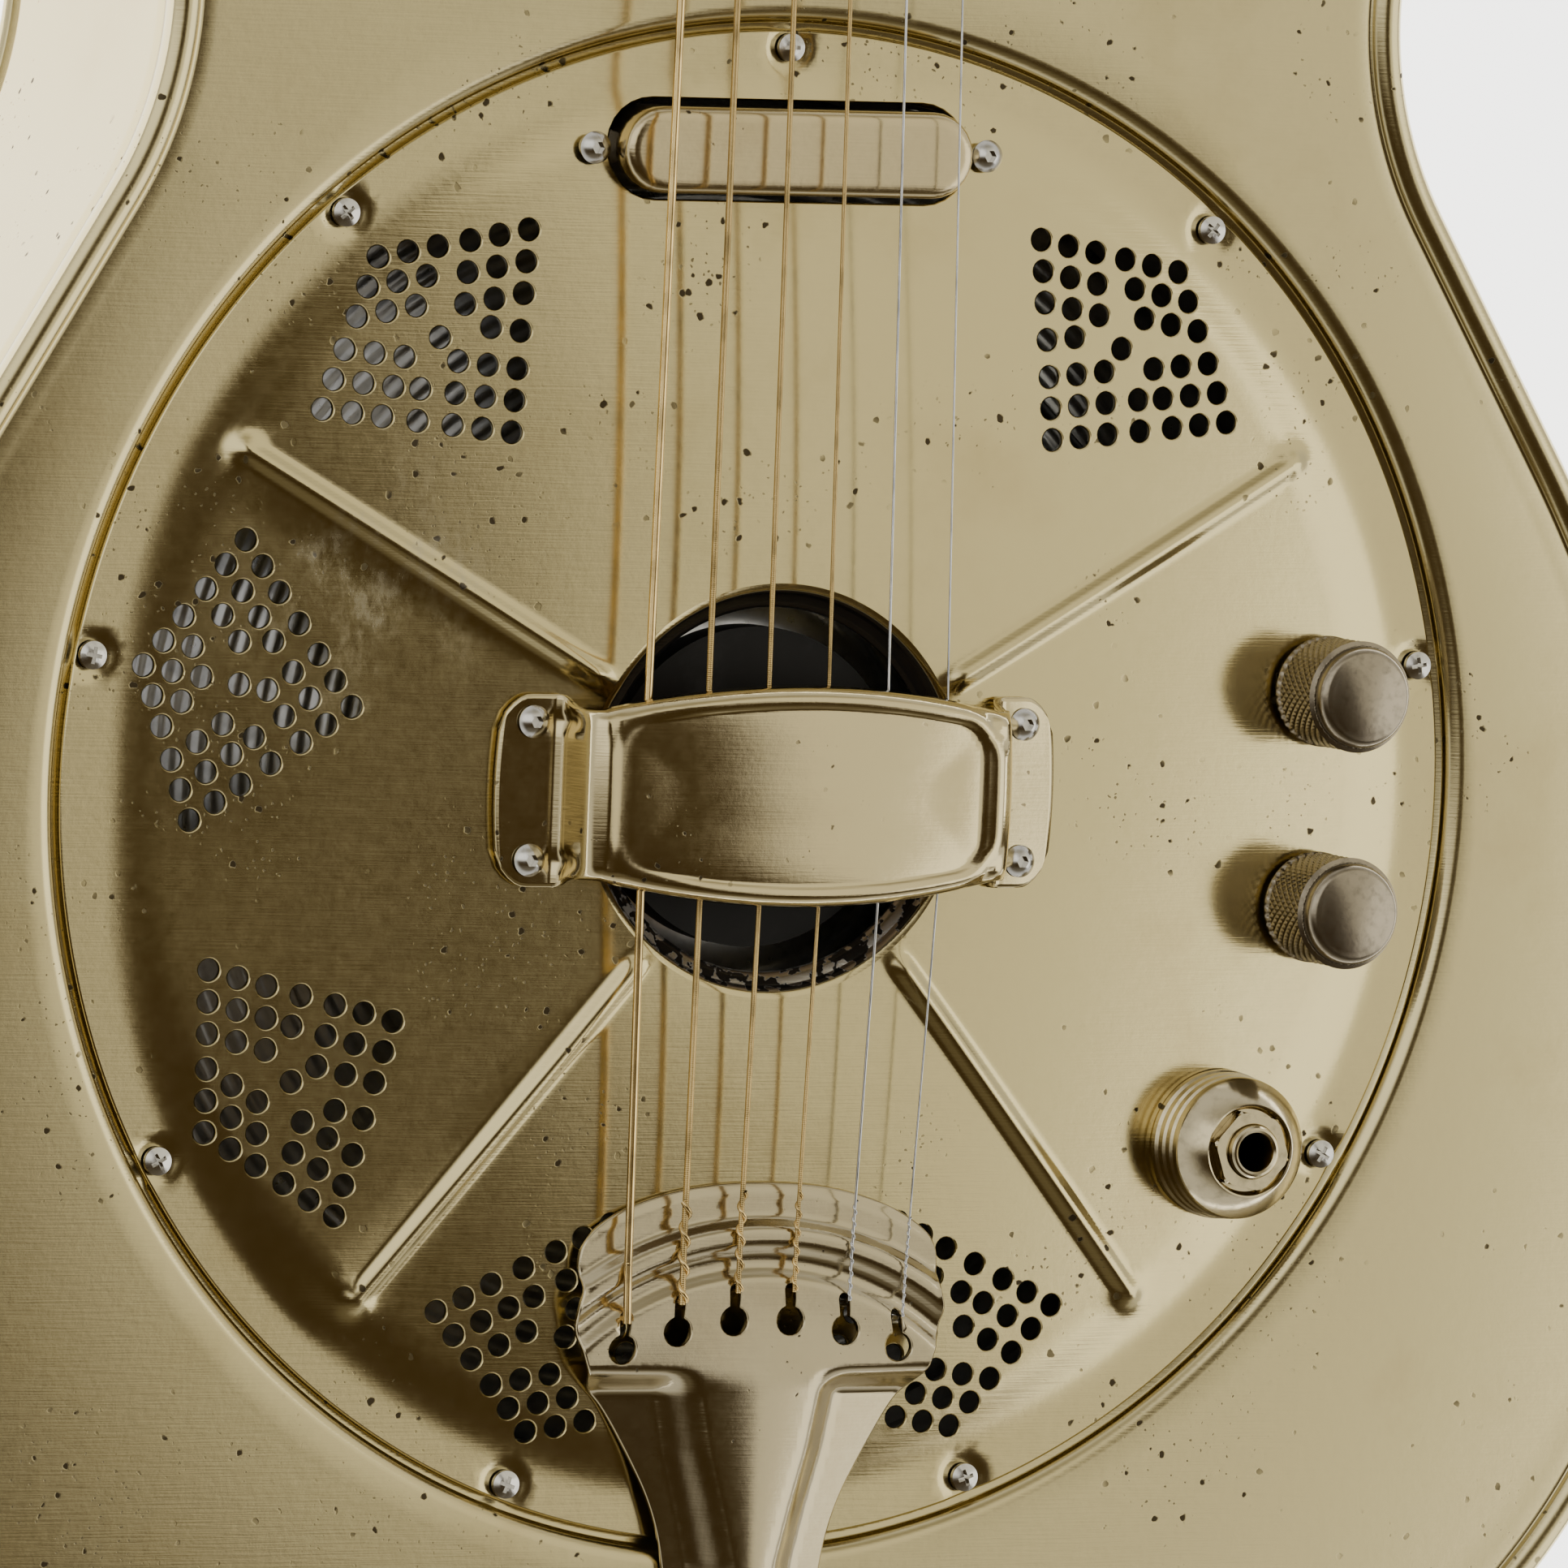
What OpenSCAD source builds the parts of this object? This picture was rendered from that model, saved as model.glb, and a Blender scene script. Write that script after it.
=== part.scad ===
// Metal-bodied resonator guitar with a single spun cone, lying on its back.
// +X is the treble side, +Y runs to the headstock, +Z points out of the top.
// The origin is on the back's flat outer face, under the centre of the cover plate.

/* [Body] */
// Height of the top sheet's outer face above the back
body_depth = 76; // [70:1:84]
// Half width of the lower bout
lower_half_w = 186.5; // [182:0.5:192]
// Half width at the waist
waist_half_w = 117.5; // [114:0.5:120]
// Half width of the upper bout
upper_half_w = 127; // [124:0.5:130]
// Thickness of the body sheet
sheet = 1; // [0.8:0.1:1.2]

/* [Cover plate] */
// Radius of the cover plate
plate_r = 132; // [131:0.5:133]
// Radius of the centre hole
centre_hole_r = 34.5; // [33:0.5:36]
// Radius of each sound hole
sound_hole_r = 1.95; // [1.6:0.05:2.1]
// Number of cover plate screws
plate_screws = 9; // [9:1:9]

/* [Strings and scale] */
// Distance from nut to saddle
scale_length = 635; // [625:1:645]
// Number of frets
fret_count = 20; // [16:1:20]
// Distance between the outer strings at the saddle
saddle_spread = 58; // [54:0.5:60]
// Distance between the outer strings at the nut
nut_spread = 39; // [37:0.5:40]

/* [Tuners] */
// Turns of the tuner key for one turn of its post
tuner_ratio = 15; // [14:1:18]
// Distance between the posts along the headstock
post_pitch = 38; // [36:1:40]

/* [Hidden] */
$fn = 64;

// Heights and places that follow from the driving dimensions
seat_z = body_depth - 2;
ledge_z = seat_z - sheet;
well_r = 133.6;
joint_y = 283;
tail_y = -195;
screw_r = 129;
plate_t = 1;
cone_r = 120.5;
cone_z = 40;
cone_top_z = 63;
biscuit_top_z = 70;
saddle_top_z = seat_z + 13.5;
board_t = 6;
board_z = 82;
neck_angle = 0.45;
head_angle = 12;
head_t = 14;
nut_y = scale_length;
knob_r = 10;
control_r = 108.3;
volume_at = [107, 18];
tone_at = [106.4, -20.2];
jack_at = [90.1, -62.3];
pickup_y = 111;
pickup_half = 33.3;
pickup_half_h = 7.5;
nickel = [0.72, 0.69, 0.6];
bright = [0.82, 0.81, 0.78];
string_radii = [0.72, 0.56, 0.46, 0.36, 0.24, 0.19];
slack = 0.05;
joint_swell = 0.04;

// Heights of the plate's terraces above its flange: crown round the centre hole, and the holed ring
crown_h = 5.7;
ring_h = 2.6;
function string_x(i, spread) = (i - 3.5) * spread / 5;
function lerp(a, b, t) = a + (b - a) * t;
// Points of an arc about c from angle a0 to angle a1
function arc(c, r, a0, a1, n) = [for (k = [0:n]) c + r * [cos(lerp(a0, a1, k / n)), sin(lerp(a0, a1, k / n))]];
function mirrored(points) = concat(points, [for (k = [len(points) - 1:-1:0]) [-points[k][0], points[k][1]]]);
// Outline of the body, moved inwards by an inset: six tangent arcs on each side
lower_y = -60;
side_arc_r = 230.8;
corner_r = 124.7;
waist_r = 66.7;
waist_y = 137.1;
upper_r = 80;
upper_c = [upper_half_w - upper_r, waist_y + sqrt(pow(waist_r + upper_r, 2)
    - pow(waist_half_w + waist_r - upper_half_w + upper_r, 2))];
side_c = [lower_half_w - side_arc_r, lower_y];
corner_c = [lower_half_w - corner_r, lower_y];
waist_c = [waist_half_w + waist_r, waist_y];
tail_drop = lower_y - tail_y - corner_r;
tail_h = (pow(corner_c[0], 2) - pow(tail_drop, 2)) / (2 * tail_drop);
tail_c = [0, lower_y + tail_h];
tail_r = tail_h + lower_y - tail_y;
top_drop = joint_y - upper_c[1] - upper_r;
top_h = (pow(upper_c[0], 2) - pow(top_drop, 2)) / (2 * top_drop);
top_c = [0, upper_c[1] - top_h];
top_r = top_h + joint_y - upper_c[1];
flank = atan2(waist_c[1] - side_c[1], waist_c[0] - side_c[0])
    - acos((side_arc_r + waist_r) / norm(waist_c - side_c));
upper_a = atan2(upper_c[1] - waist_c[1], upper_c[0] - waist_c[0]);
function outline(inset) = mirrored(concat(
    arc(tail_c, tail_r - inset, -90, atan2(corner_c[1] - tail_c[1], corner_c[0]), 8),
    arc(corner_c, corner_r - inset, atan2(corner_c[1] - tail_c[1], corner_c[0]), 0, 14),
    arc(side_c, side_arc_r - inset, 0, flank, 10),
    arc(waist_c, waist_r + inset, flank + 180, upper_a, 10),
    arc(upper_c, upper_r - inset, upper_a - 180, atan2(upper_c[1] - top_c[1], upper_c[0]), 12),
    arc(top_c, top_r - inset, atan2(upper_c[1] - top_c[1], upper_c[0]), 90, 8)));

// Plain building modules
module at(place, z) { translate([place[0], place[1], z]) children(); }
module tube(outer, inner, h) {
    difference() {
        cylinder(r = outer, h = h);
        translate([0, 0, -1]) cylinder(r = inner, h = h + 2);
    }
}
module body_slab(inset, h) { linear_extrude(h) polygon(outline(inset)); }
// A slot outline: half length and half width, square to Z
module pill(half, half_h, h) {
    translate([-half + half_h, -half_h, 0]) cube([2 * (half - half_h), 2 * half_h, h]);
    for (s = [-1, 1]) translate([s * (half - half_h), 0, 0]) cylinder(r = half_h, h = h);
}
// A straight wire from a to b
module wire(a, b, r) {
    d = b - a;
    translate(a) rotate([0, acos(d[2] / norm(d)), atan2(d[1], d[0])]) cylinder(r = r, h = norm(d), $fn = 24);
}
module on_neck() {
    translate([0, joint_y, board_z]) rotate([-neck_angle, 0, 0]) translate([0, -joint_y, -board_z]) children();
}
module on_head() {
    on_neck() translate([0, nut_y + 5, board_z - board_t]) rotate([-head_angle, 0, 0]) children();
}

// Body
module body_back() {
    color(nickel) body_slab(0, sheet);
}
module body_sides() {
    color(nickel) difference() {
        translate([0, 0, sheet]) body_slab(0, body_depth - 2 * sheet);
        translate([0, 0, -1]) body_slab(sheet, body_depth + 2);
        translate([-15.2, 270, 9.8]) cube([30.4, 30, 24.4]);
        translate([0, tail_y + 5, 22]) rotate([90, 0, 0]) cylinder(r = 3.9, h = 12);
    }
}
module body_top() {
    bead_w = 5.5;
    color(nickel) difference() {
        union() {
            translate([0, 0, body_depth - sheet]) body_slab(0, sheet);
            difference() {
                union() {
                    translate([0, 0, body_depth - sheet / 2]) body_slab(0, 1.4);
                    translate([0, 0, body_depth]) body_slab(1.2, 1.8);
                }
                translate([0, 0, body_depth - sheet]) body_slab(bead_w, 4);
            }
            translate([0, 0, ledge_z - sheet]) cylinder(r = well_r + sheet, h = body_depth - ledge_z + sheet, $fn = 180);
        }
        translate([0, 0, ledge_z]) cylinder(r = well_r, h = 20, $fn = 180);
        translate([0, 0, ledge_z - 5]) cylinder(r = 122, h = 20, $fn = 180);
        for (k = [0:plate_screws - 1]) rotate(90 + k * 360 / plate_screws)
            translate([screw_r, 0, ledge_z - 5]) cylinder(r = 1.45, h = 20);
        translate([-31, joint_y - 12, body_depth]) cube([62, 30, 10]);
    }
}
module neck_stick() {
    color([0.78, 0.62, 0.4]) difference() {
        translate([-15, tail_y + sheet + 0.8, 10]) cube([30, joint_y - tail_y - sheet - 0.8, 24]);
        translate([0, tail_y + 40, 22]) rotate([90, 0, 0]) cylinder(r = 3.85, h = 60);
        translate([0, 0, -1]) cylinder(r = 4, h = 60);
    }
}
module sound_well() {
    color([0.6, 0.58, 0.54]) rotate_extrude($fn = 120)
        polygon([[112, cone_z - 1], [125.5, cone_z - 1], [125.5, ledge_z - 2], [126.8, ledge_z - 2],
            [126.8, ledge_z - 1], [124.5, ledge_z - 1], [124.5, cone_z], [112, cone_z]]);
}
module cone() {
    t = 0.6;
    color([0.8, 0.8, 0.8]) difference() {
        rotate_extrude($fn = 120)
            polygon([[0, cone_top_z - t], [32, cone_top_z - t], [36, cone_top_z - 4 - t], [112, cone_z + 1.2],
                [116, cone_z], [cone_r, cone_z], [cone_r, cone_z + t], [116, cone_z + t],
                [112, cone_z + 1.2 + t], [36, cone_top_z - 4], [32, cone_top_z], [0, cone_top_z]]);
        translate([0, 0, 20]) cylinder(r = 1.9, h = 60);
    }
}
module biscuit() {
    color([0.05, 0.05, 0.05]) difference() {
        translate([0, 0, cone_top_z]) cylinder(r = 28, h = biscuit_top_z - cone_top_z, $fn = 96);
        translate([-32, -1.6, biscuit_top_z - 4]) cube([64, 3.2, 10]);
        translate([0, 0, 20]) cylinder(r = 1.55, h = 60);
    }
}
module biscuit_screw() {
    color(bright) {
        translate([0, 0, cone_top_z - 2.6]) cylinder(r = 3.4, h = 2);
        translate([0, 0, cone_top_z - 2.6]) cylinder(r = 1.5, h = 5.5);
    }
}
module saddle() {
    color([0.85, 0.72, 0.5]) intersection() {
        translate([-31.5, -1.55, biscuit_top_z - 4]) cube([63, 3.1, saddle_top_z - biscuit_top_z + 4]);
        union() {
            translate([-31.5, -5, biscuit_top_z]) cube([63, 10, 40]);
            translate([-27, -5, biscuit_top_z - 5]) cube([54, 10, 10]);
        }
    }
}

// Cover plate
hole_groups = [50, 130, 170, 210, 250, 290];
rib_angles = [30, 150, 230, 310];
kite_corners = [[80.5, 0], [105.5, 24.5], [119.2, 0], [105.5, -24.5]];
// Two holes stepped inwards between the corners a and b, and their neighbours towards the centre
function kite_block(k, a, b) = [for (i = [0:2], j = [0:2])
    kite_corners[k] + i * a * kite_step(k, 1) + j * b * kite_step(k, 3)];
function kite_step(k, turn) = let (d = kite_corners[(k + turn) % 4] - kite_corners[k]) d / norm(d);
hole_pitch = 5.5;
function kite_bridge(k, turn) = let (mid = (kite_corners[0] + kite_corners[k]) / 2,
    across = kite_step(0, turn)) [mid, mid + hole_pitch * across];
kite_holes = concat(
    [for (k = [0:3]) each kite_block(k, hole_pitch, hole_pitch)],
    kite_bridge(1, 3), kite_bridge(3, 1), [[101.5, 0]]);
module cover_plate() {
    rib_w = 4;
    color(nickel) difference() {
        union() {
            translate([0, 0, seat_z]) rotate_extrude($fn = 180) polygon([
                [centre_hole_r - 2, crown_h - 4], [centre_hole_r, crown_h - 1], [centre_hole_r + 1.5, crown_h],
                [57, crown_h], [76, ring_h], [121, ring_h], [124.5, 0], [plate_r, 0], [plate_r, -plate_t],
                [124.2, -plate_t], [120.8, ring_h - plate_t], [75.8, ring_h - plate_t], [56.8, crown_h - plate_t],
                [centre_hole_r + 1, crown_h - plate_t], [centre_hole_r - 1, crown_h - 4]]);
            for (a = rib_angles) rotate(a) translate([0, rib_w / 2, seat_z]) rotate([90, 0, 0]) linear_extrude(rib_w)
                polygon([[38, crown_h - 0.3], [57, crown_h - 0.3], [76, ring_h - 0.3], [119, ring_h - 0.3],
                    [119, ring_h + 0.9], [76.2, ring_h + 0.9], [57.2, crown_h + 0.9], [38, crown_h + 0.9]]);
        }
        for (g = hole_groups, h = kite_holes) rotate(g) translate([h[0], h[1], seat_z - 4])
            cylinder(r = sound_hole_r, h = 20, $fn = 24);
        for (k = [0:plate_screws - 1]) rotate(90 + k * 360 / plate_screws)
            translate([screw_r, 0, seat_z - 4]) cylinder(r = 1.7, h = 20);
        translate([0, pickup_y, seat_z - 4]) pill(pickup_half + 1, pickup_half_h + 1, 20);
        for (s = [-1, 1]) translate([s * 37.5, pickup_y, seat_z - 4]) cylinder(r = 1.7, h = 20);
        for (s = [-1, 1], t = [-1, 1]) translate([s * 47, t * 12, seat_z - 4]) cylinder(r = 1.7, h = 20);
        at(volume_at, seat_z - 4) cylinder(r = 3.7, h = 20);
        at(tone_at, seat_z - 4) cylinder(r = 3.7, h = 20);
        at(jack_at, seat_z - 4) cylinder(r = 4.9, h = 20);
    }
}
// A pan head with a cross recess, shank pointing down from z = 0
module pan_screw(head_r, head_h, shank_r, length) {
    difference() {
        union() {
            intersection() {
                translate([0, 0, head_h - 2.2 * head_r]) sphere(r = 2.2 * head_r);
                cylinder(r = head_r, h = head_h);
            }
            translate([0, 0, -length]) cylinder(r = shank_r, h = length + 0.2);
        }
        for (a = [0, 90]) rotate(a) translate([-0.6 * head_r, -0.35, head_h - 0.9]) cube([1.2 * head_r, 0.7, 2]);
    }
}
// A button head with a hexagon socket
module button_screw(head_r, head_h, shank_r, length) {
    difference() {
        union() {
            intersection() {
                translate([0, 0, head_h - 1.25 * head_r]) sphere(r = 1.25 * head_r);
                cylinder(r = head_r, h = head_h);
            }
            translate([0, 0, -length]) cylinder(r = shank_r, h = length + 0.2);
        }
        translate([0, 0, head_h - 1.1]) cylinder(r = 1.15, h = 3, $fn = 6);
    }
}
module cover_plate_screws() {
    color(bright) for (k = [0:plate_screws - 1]) rotate(90 + k * 360 / plate_screws)
        translate([screw_r, 0, seat_z]) pan_screw(2.45, 1.5, 1.4, 7);
}

// Hand rest: one bent strip with a barrel-shaped top, feet screwed to the plate
rest_foot_z = seat_z + crown_h + 0.02;
rest_top_z = seat_z + 19.6;
module hand_rest() {
    t = 1.3;
    h = rest_top_z - rest_foot_z;
    strip = [[53.4, 0], [42.6, 0], [40.2, h - 5], [36.6, h - t], [0, h - t + 0.5]];
    outer = [[0, h + 0.5], [37.4, h], [40.6, h - 3], [43.6, t], [53.4, t]];
    plan = concat(arc([-52, 0], 105.4, -9.1, 9.1, 4), [[46, 17], [41, 15], [38, 14.8]],
        [for (k = [1:7]) let (x = lerp(38, -38, k / 8)) [x, 14.8 + 4.5 * (1 - pow(x / 38, 2))]],
        [[-38, 14.8], [-41, 15], [-46, 17]], arc([52, 0], 105.4, 170.9, 189.1, 4),
        [[-46, -17], [-41, -15], [-38, -14.8]],
        [for (k = [7:-1:1]) let (x = lerp(38, -38, k / 8)) [x, -14.8 - 4.5 * (1 - pow(x / 38, 2))]],
        [[38, -14.8], [41, -15], [46, -17]]);
    color(nickel) difference() {
        intersection() {
            translate([0, 25, rest_foot_z]) rotate([90, 0, 0]) linear_extrude(50)
                polygon(concat(strip, [for (k = [3:-1:0]) [-strip[k][0], strip[k][1]]],
                    [for (k = [4:-1:1]) [-outer[k][0], outer[k][1]]], outer));
            translate([0, 0, seat_z]) linear_extrude(30) polygon(plan);
        }
        for (s = [-1, 1], u = [-1, 1]) translate([s * 47, u * 12, seat_z]) cylinder(r = 1.6, h = 20);
    }
}
module hand_rest_screws() {
    color(bright) for (s = [-1, 1], u = [-1, 1])
        translate([s * 47, u * 12, rest_foot_z + 1.3]) button_screw(2.85, 1.65, 1.45, 6);
}

// Tailpiece: stamped plate with corrugations struck about one centre, a stem, and a bent hanger
lip_c = -137;
tp_t = 1.3;
hanger_y = tail_y - 1.4;
keyholes = [[26.5, -97], [16.1, -94], [5.4, -92.2]];
module tailpiece() {
    crest = [[68.5, 5.8], [68, 6.5], [62.9, 6.8], [62, 8.2], [59.5, 9], [57, 8.4], [54.5, 7.4], [52.6, 8.4],
        [50, 8.6], [40, 9], [28, 9.6]];
    half_plan = [[0, -68], [14, -69], [26, -72.5], [33.4, -77.5], [34.6, -82], [34.2, -86], [35.6, -91],
        [33.2, -99], [31, -104.6], [28, -107], [22.5, -116], [17.7, -125], [15, -135], [12.5, -160], [12, -185]];
    color([0.7, 0.66, 0.6]) difference() {
        union() {
            intersection() {
                translate([0, lip_c, seat_z]) rotate_extrude($fn = 120)
                    polygon(concat(crest, [for (k = [len(crest) - 1:-1:0]) crest[k] - [0, tp_t]]));
                translate([0, 0, seat_z]) linear_extrude(20)
                    polygon(mirrored(concat(half_plan, [[0, -185]])));
            }
            intersection() {
                translate([-40, -198, seat_z + 9.6 - tp_t]) cube([80, 198 - 109, tp_t]);
                translate([0, 0, seat_z]) linear_extrude(20)
                    polygon(mirrored(concat([for (k = [8:14]) half_plan[k]], [[12, hanger_y - tp_t]])));
            }
            for (s = [-1, 1]) translate([s * 9.5, -190, seat_z + 9]) rotate([0, 0, -s * 4.6])
                translate([-1.5, 0, 0]) cube([3, 84, 2.2]);
            translate([-12, hanger_y - tp_t, 14]) cube([24, tp_t, seat_z + 9.6 - 14]);
        }
        for (s = [-1, 1], k = keyholes) translate([s * k[0], k[1], seat_z]) {
            cylinder(r = 2.5, h = 20);
            translate([-0.95, 0, 0]) cube([1.9, 6.5, 20]);
        }
        translate([0, hanger_y + 2, 22]) rotate([90, 0, 0]) cylinder(r = 3.9, h = 12);
    }
}
module end_pin() {
    color(bright) translate([0, hanger_y - tp_t, 22]) rotate([90, 0, 0])
        rotate_extrude() polygon([[0, -30], [3.7, -30], [3.7, 0.05], [6, 0.05], [4.2, 3], [4.2, 5], [7, 7.5],
            [6.6, 9.5], [4, 10.4], [0, 10.6]]);
}

// Pickup
pickup_top_z = seat_z + 8;
module pickup_cover() {
    color([0.68, 0.64, 0.58]) translate([0, pickup_y, pickup_top_z - 12]) difference() {
        union() {
            pill(pickup_half, pickup_half_h, 11.2);
            pill(pickup_half - 0.8, pickup_half_h - 0.8, 12);
        }
        translate([0, 0, -1]) pill(pickup_half - 1.2, pickup_half_h - 1.2, 12.1);
    }
}
module pickup_coil() {
    color([0.5, 0.25, 0.1]) translate([0, pickup_y, pickup_top_z - 11.8]) difference() {
        pill(pickup_half - 2, pickup_half_h - 2, 9);
        translate([0, 0, -1]) pill(pickup_half - 5, 2.1, 12);
    }
}
module pickup_magnet() {
    color([0.3, 0.3, 0.32]) translate([0, pickup_y, pickup_top_z - 11.8]) pill(pickup_half - 5.1, 2, 9);
}
module pickup_base_plate() {
    color(bright) translate([0, pickup_y, pickup_top_z - 13.2]) difference() {
        union() {
            pill(pickup_half, pickup_half_h, 1.2);
            pill(41, 3.5, 1.2);
        }
        for (s = [-1, 1]) translate([s * 37.5, 0, -1]) cylinder(r = 1.45, h = 5);
    }
}
// Height of the plate's upper face where the pickup and its screws are
pickup_seat_z = seat_z + ring_h;
module pickup_screws() {
    color(bright) for (s = [-1, 1]) translate([s * 37.5, pickup_y, pickup_seat_z + 0.02])
        button_screw(2.85, 1.65, 1.4, 9.5);
}
module pickup_springs() {
    color(bright) for (s = [-1, 1]) translate([s * 37.5, pickup_y, pickup_top_z - 12]) tube(2.3, 1.7, 5.2);
}

// Controls
knob_z = seat_z + 4;
module knob() {
    difference() {
        union() {
            cylinder(r = knob_r, h = 13);
            translate([0, 0, 12.9]) cylinder(r1 = knob_r - 0.9, r2 = knob_r - 1.6, h = 3);
            intersection() {
                cylinder(r = knob_r - 1.6, h = 30);
                translate([0, 0, -6]) sphere(r = 24);
            }
        }
        translate([0, 0, -1]) cylinder(r = 7, h = 4.2);
        translate([0, 0, -1]) cylinder(r = 3, h = 14.5);
    }
}
module pot_shaft() {
    cylinder(r = 3, h = 25);
    cylinder(r = 6, h = 1.4);
}
pot_z = seat_z - 9.8;
module volume_knob() { color(bright) at(volume_at, knob_z) knob(); }
module tone_knob() { color(bright) at(tone_at, knob_z) knob(); }
module volume_pot_shaft() { color(bright) at(volume_at, pot_z + 2) pot_shaft(); }
module tone_pot_shaft() { color(bright) at(tone_at, pot_z + 2) pot_shaft(); }
module pot_cases() {
    color([0.6, 0.6, 0.62]) for (p = [volume_at, tone_at]) at(p, pot_z) difference() {
        union() {
            cylinder(r = 8.5, h = 9.6);
            cylinder(r = 3.5, h = 14.6);
        }
        translate([0, 0, 1]) cylinder(r = 7.5, h = 6.6);
        cylinder(r = 3 + slack, h = 30);
    }
}
module pot_nuts() {
    color(bright) for (p = [volume_at, tone_at]) at(p, seat_z + ring_h + 0.02) difference() {
        cylinder(r = 5.6, h = 1.5, $fn = 6);
        translate([0, 0, -1]) cylinder(r = 3.5 + slack, h = 5);
    }
}
module jack_cup() {
    color(bright) at(jack_at, seat_z + ring_h + 0.02) difference() {
        rotate_extrude($fn = 96) polygon([[4.9, 0], [13, 0], [13.2, 1], [13, 2], [12.4, 2.4], [12.9, 3.2], [12.7, 4.4],
            [12.1, 4.8], [12.5, 5.6], [12.3, 6.8], [11.7, 7.2], [12.1, 8], [11.9, 9.2], [8.2, 13],
            [7.6, 13], [7.6, 11.6], [4.9, 11.6]]);
        translate([0, 0, -1]) cylinder(r = 10.5, h = 9);
    }
}
module jack_nut() {
    color(bright) at(jack_at, seat_z + 14.25) difference() {
        intersection() {
            cylinder(r = 7.45, h = 2.4, $fn = 6);
            cylinder(r1 = 8.4, r2 = 6.9, h = 2.4);
        }
        translate([0, 0, -1]) cylinder(r = 4.85, h = 5);
    }
}
module jack_barrel() {
    color(bright) at(jack_at, seat_z - 20) difference() {
        union() {
            cylinder(r = 4.76, h = 38.2);
            cylinder(r = 7, h = 3);
        }
        translate([0, 0, -1]) cylinder(r = 3.25, h = 45);
    }
}
module jack_contacts() {
    color([0.85, 0.7, 0.4]) at(jack_at, seat_z - 24) {
        translate([-5, -2, 0]) cube([10, 4, 0.6]);
        translate([-6.5, -1.5, 0]) cube([1.6, 3, 3.9]);
    }
}
module wiring() {
    color([0.15, 0.15, 0.15]) {
        wire([20, 101, 66], [99, 26, 62], 0.9);
        wire([104, 9.3, 66], [104, -11.5, 66], 0.9);
        wire([102, -28.2, 66], [95.4, -56, 56.6], 0.9);
    }
}

// Neck
function half_w(y) = lerp(saddle_spread, nut_spread, y / nut_y) / 2 + 4;
board_end_y = nut_y - scale_length * (1 - pow(2, -fret_count / 12)) - 5;
neck_start_r = 31;
neck_end_r = 24;
neck_rise = 11;
module neck() {
    length = nut_y + 5 - joint_y;
    color([0.45, 0.27, 0.13]) difference() {
        union() {
            on_neck() intersection() {
                translate([0, joint_y, board_z - board_t + neck_rise]) rotate([-90, 0, 0])
                    cylinder(r1 = neck_start_r, r2 = neck_end_r + 1, h = length, $fn = 96);
                translate([0, joint_y, 0]) linear_extrude(board_z - board_t) polygon([[-half_w(joint_y), 0],
                    [half_w(joint_y), 0], [half_w(nut_y), length], [-half_w(nut_y), length]]);
            }
            intersection() {
                translate([0, joint_y + 2, 12]) cylinder(r1 = 19, r2 = 27, h = body_depth - 14, $fn = 96);
                translate([-40, joint_y, 0]) cube([80, 40, body_depth - 1]);
            }
            on_head() head_blank();
        }
        on_neck() translate([-3.05, joint_y + 30, board_z - board_t - 7]) cube([6.1, nut_y - joint_y - 25, 10]);
        on_head() for (k = [1:6]) translate([post_x(k), post_y(k), -30]) cylinder(r = 5, h = 60);
    }
}
module head_blank() {
    side = [[half_w(nut_y), 0], [half_w(nut_y) + 1, 8], [31, 24], [32.5, 60], [34, 140], [30, 150], [14, 156], [0, 154]];
    translate([0, 0, -head_t]) linear_extrude(head_t - 0.01) polygon(mirrored(side));
}
function post_row(k) = k < 4 ? k - 1 : 6 - k;
function post_y(k) = 38 + post_pitch * post_row(k);
function post_side(k) = k < 4 ? -1 : 1;
function post_x(k) = post_side(k) * (23 - 2 * post_row(k));
module fretboard() {
    color([0.16, 0.09, 0.06]) on_neck() difference() {
        translate([0, 0, board_z - board_t + 0.01]) linear_extrude(board_t - 0.01)
            polygon([[-half_w(board_end_y), board_end_y], [half_w(board_end_y), board_end_y],
                [half_w(nut_y), nut_y], [-half_w(nut_y), nut_y]]);
        for (m = marker_places) translate([m[0], m[1], board_z - 2]) cylinder(r = 3 + slack, h = 4);
        for (k = [1:fret_count]) translate([-40, fret_y(k) - 0.3, board_z - 1.5]) cube([80, 0.6, 4]);
    }
}
function fret_y(k) = nut_y - scale_length * (1 - pow(2, -k / 12));
function between_frets(k) = (fret_y(k) + fret_y(k - 1)) / 2;
marker_places = concat([for (k = [5, 7, 9, 15, 17]) [0, between_frets(k)]],
    [for (s = [-1, 1]) [s * 12, between_frets(12)]]);
module frets() {
    color(bright) on_neck() for (k = [1:fret_count]) {
        translate([-half_w(fret_y(k)), fret_y(k) - 0.28, board_z - 1.4]) cube([2 * half_w(fret_y(k)), 0.56, 1.8]);
        intersection() {
            translate([-half_w(fret_y(k)), fret_y(k), board_z]) rotate([0, 90, 0])
                cylinder(r = 1.1, h = 2 * half_w(fret_y(k)), $fn = 24);
            translate([-40, fret_y(k) - 5, board_z]) cube([80, 10, 5]);
        }
    }
}
module fret_markers() {
    color([0.9, 0.89, 0.84]) on_neck() for (m = marker_places)
        translate([m[0], m[1], board_z - 1.99]) cylinder(r = 3, h = 1.99);
}
nut_top = 1.6;
module nut() {
    color([0.93, 0.9, 0.82]) on_neck() translate([-half_w(nut_y), nut_y + 0.02, board_z - board_t + 0.02])
        cube([2 * half_w(nut_y), 4.9, board_t + nut_top]);
}
module truss_rod() {
    color([0.5, 0.5, 0.52]) on_neck() translate([-3, joint_y + 31, board_z - board_t - 6.9])
        cube([6, nut_y - joint_y - 27, 6.8]);
}
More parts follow.
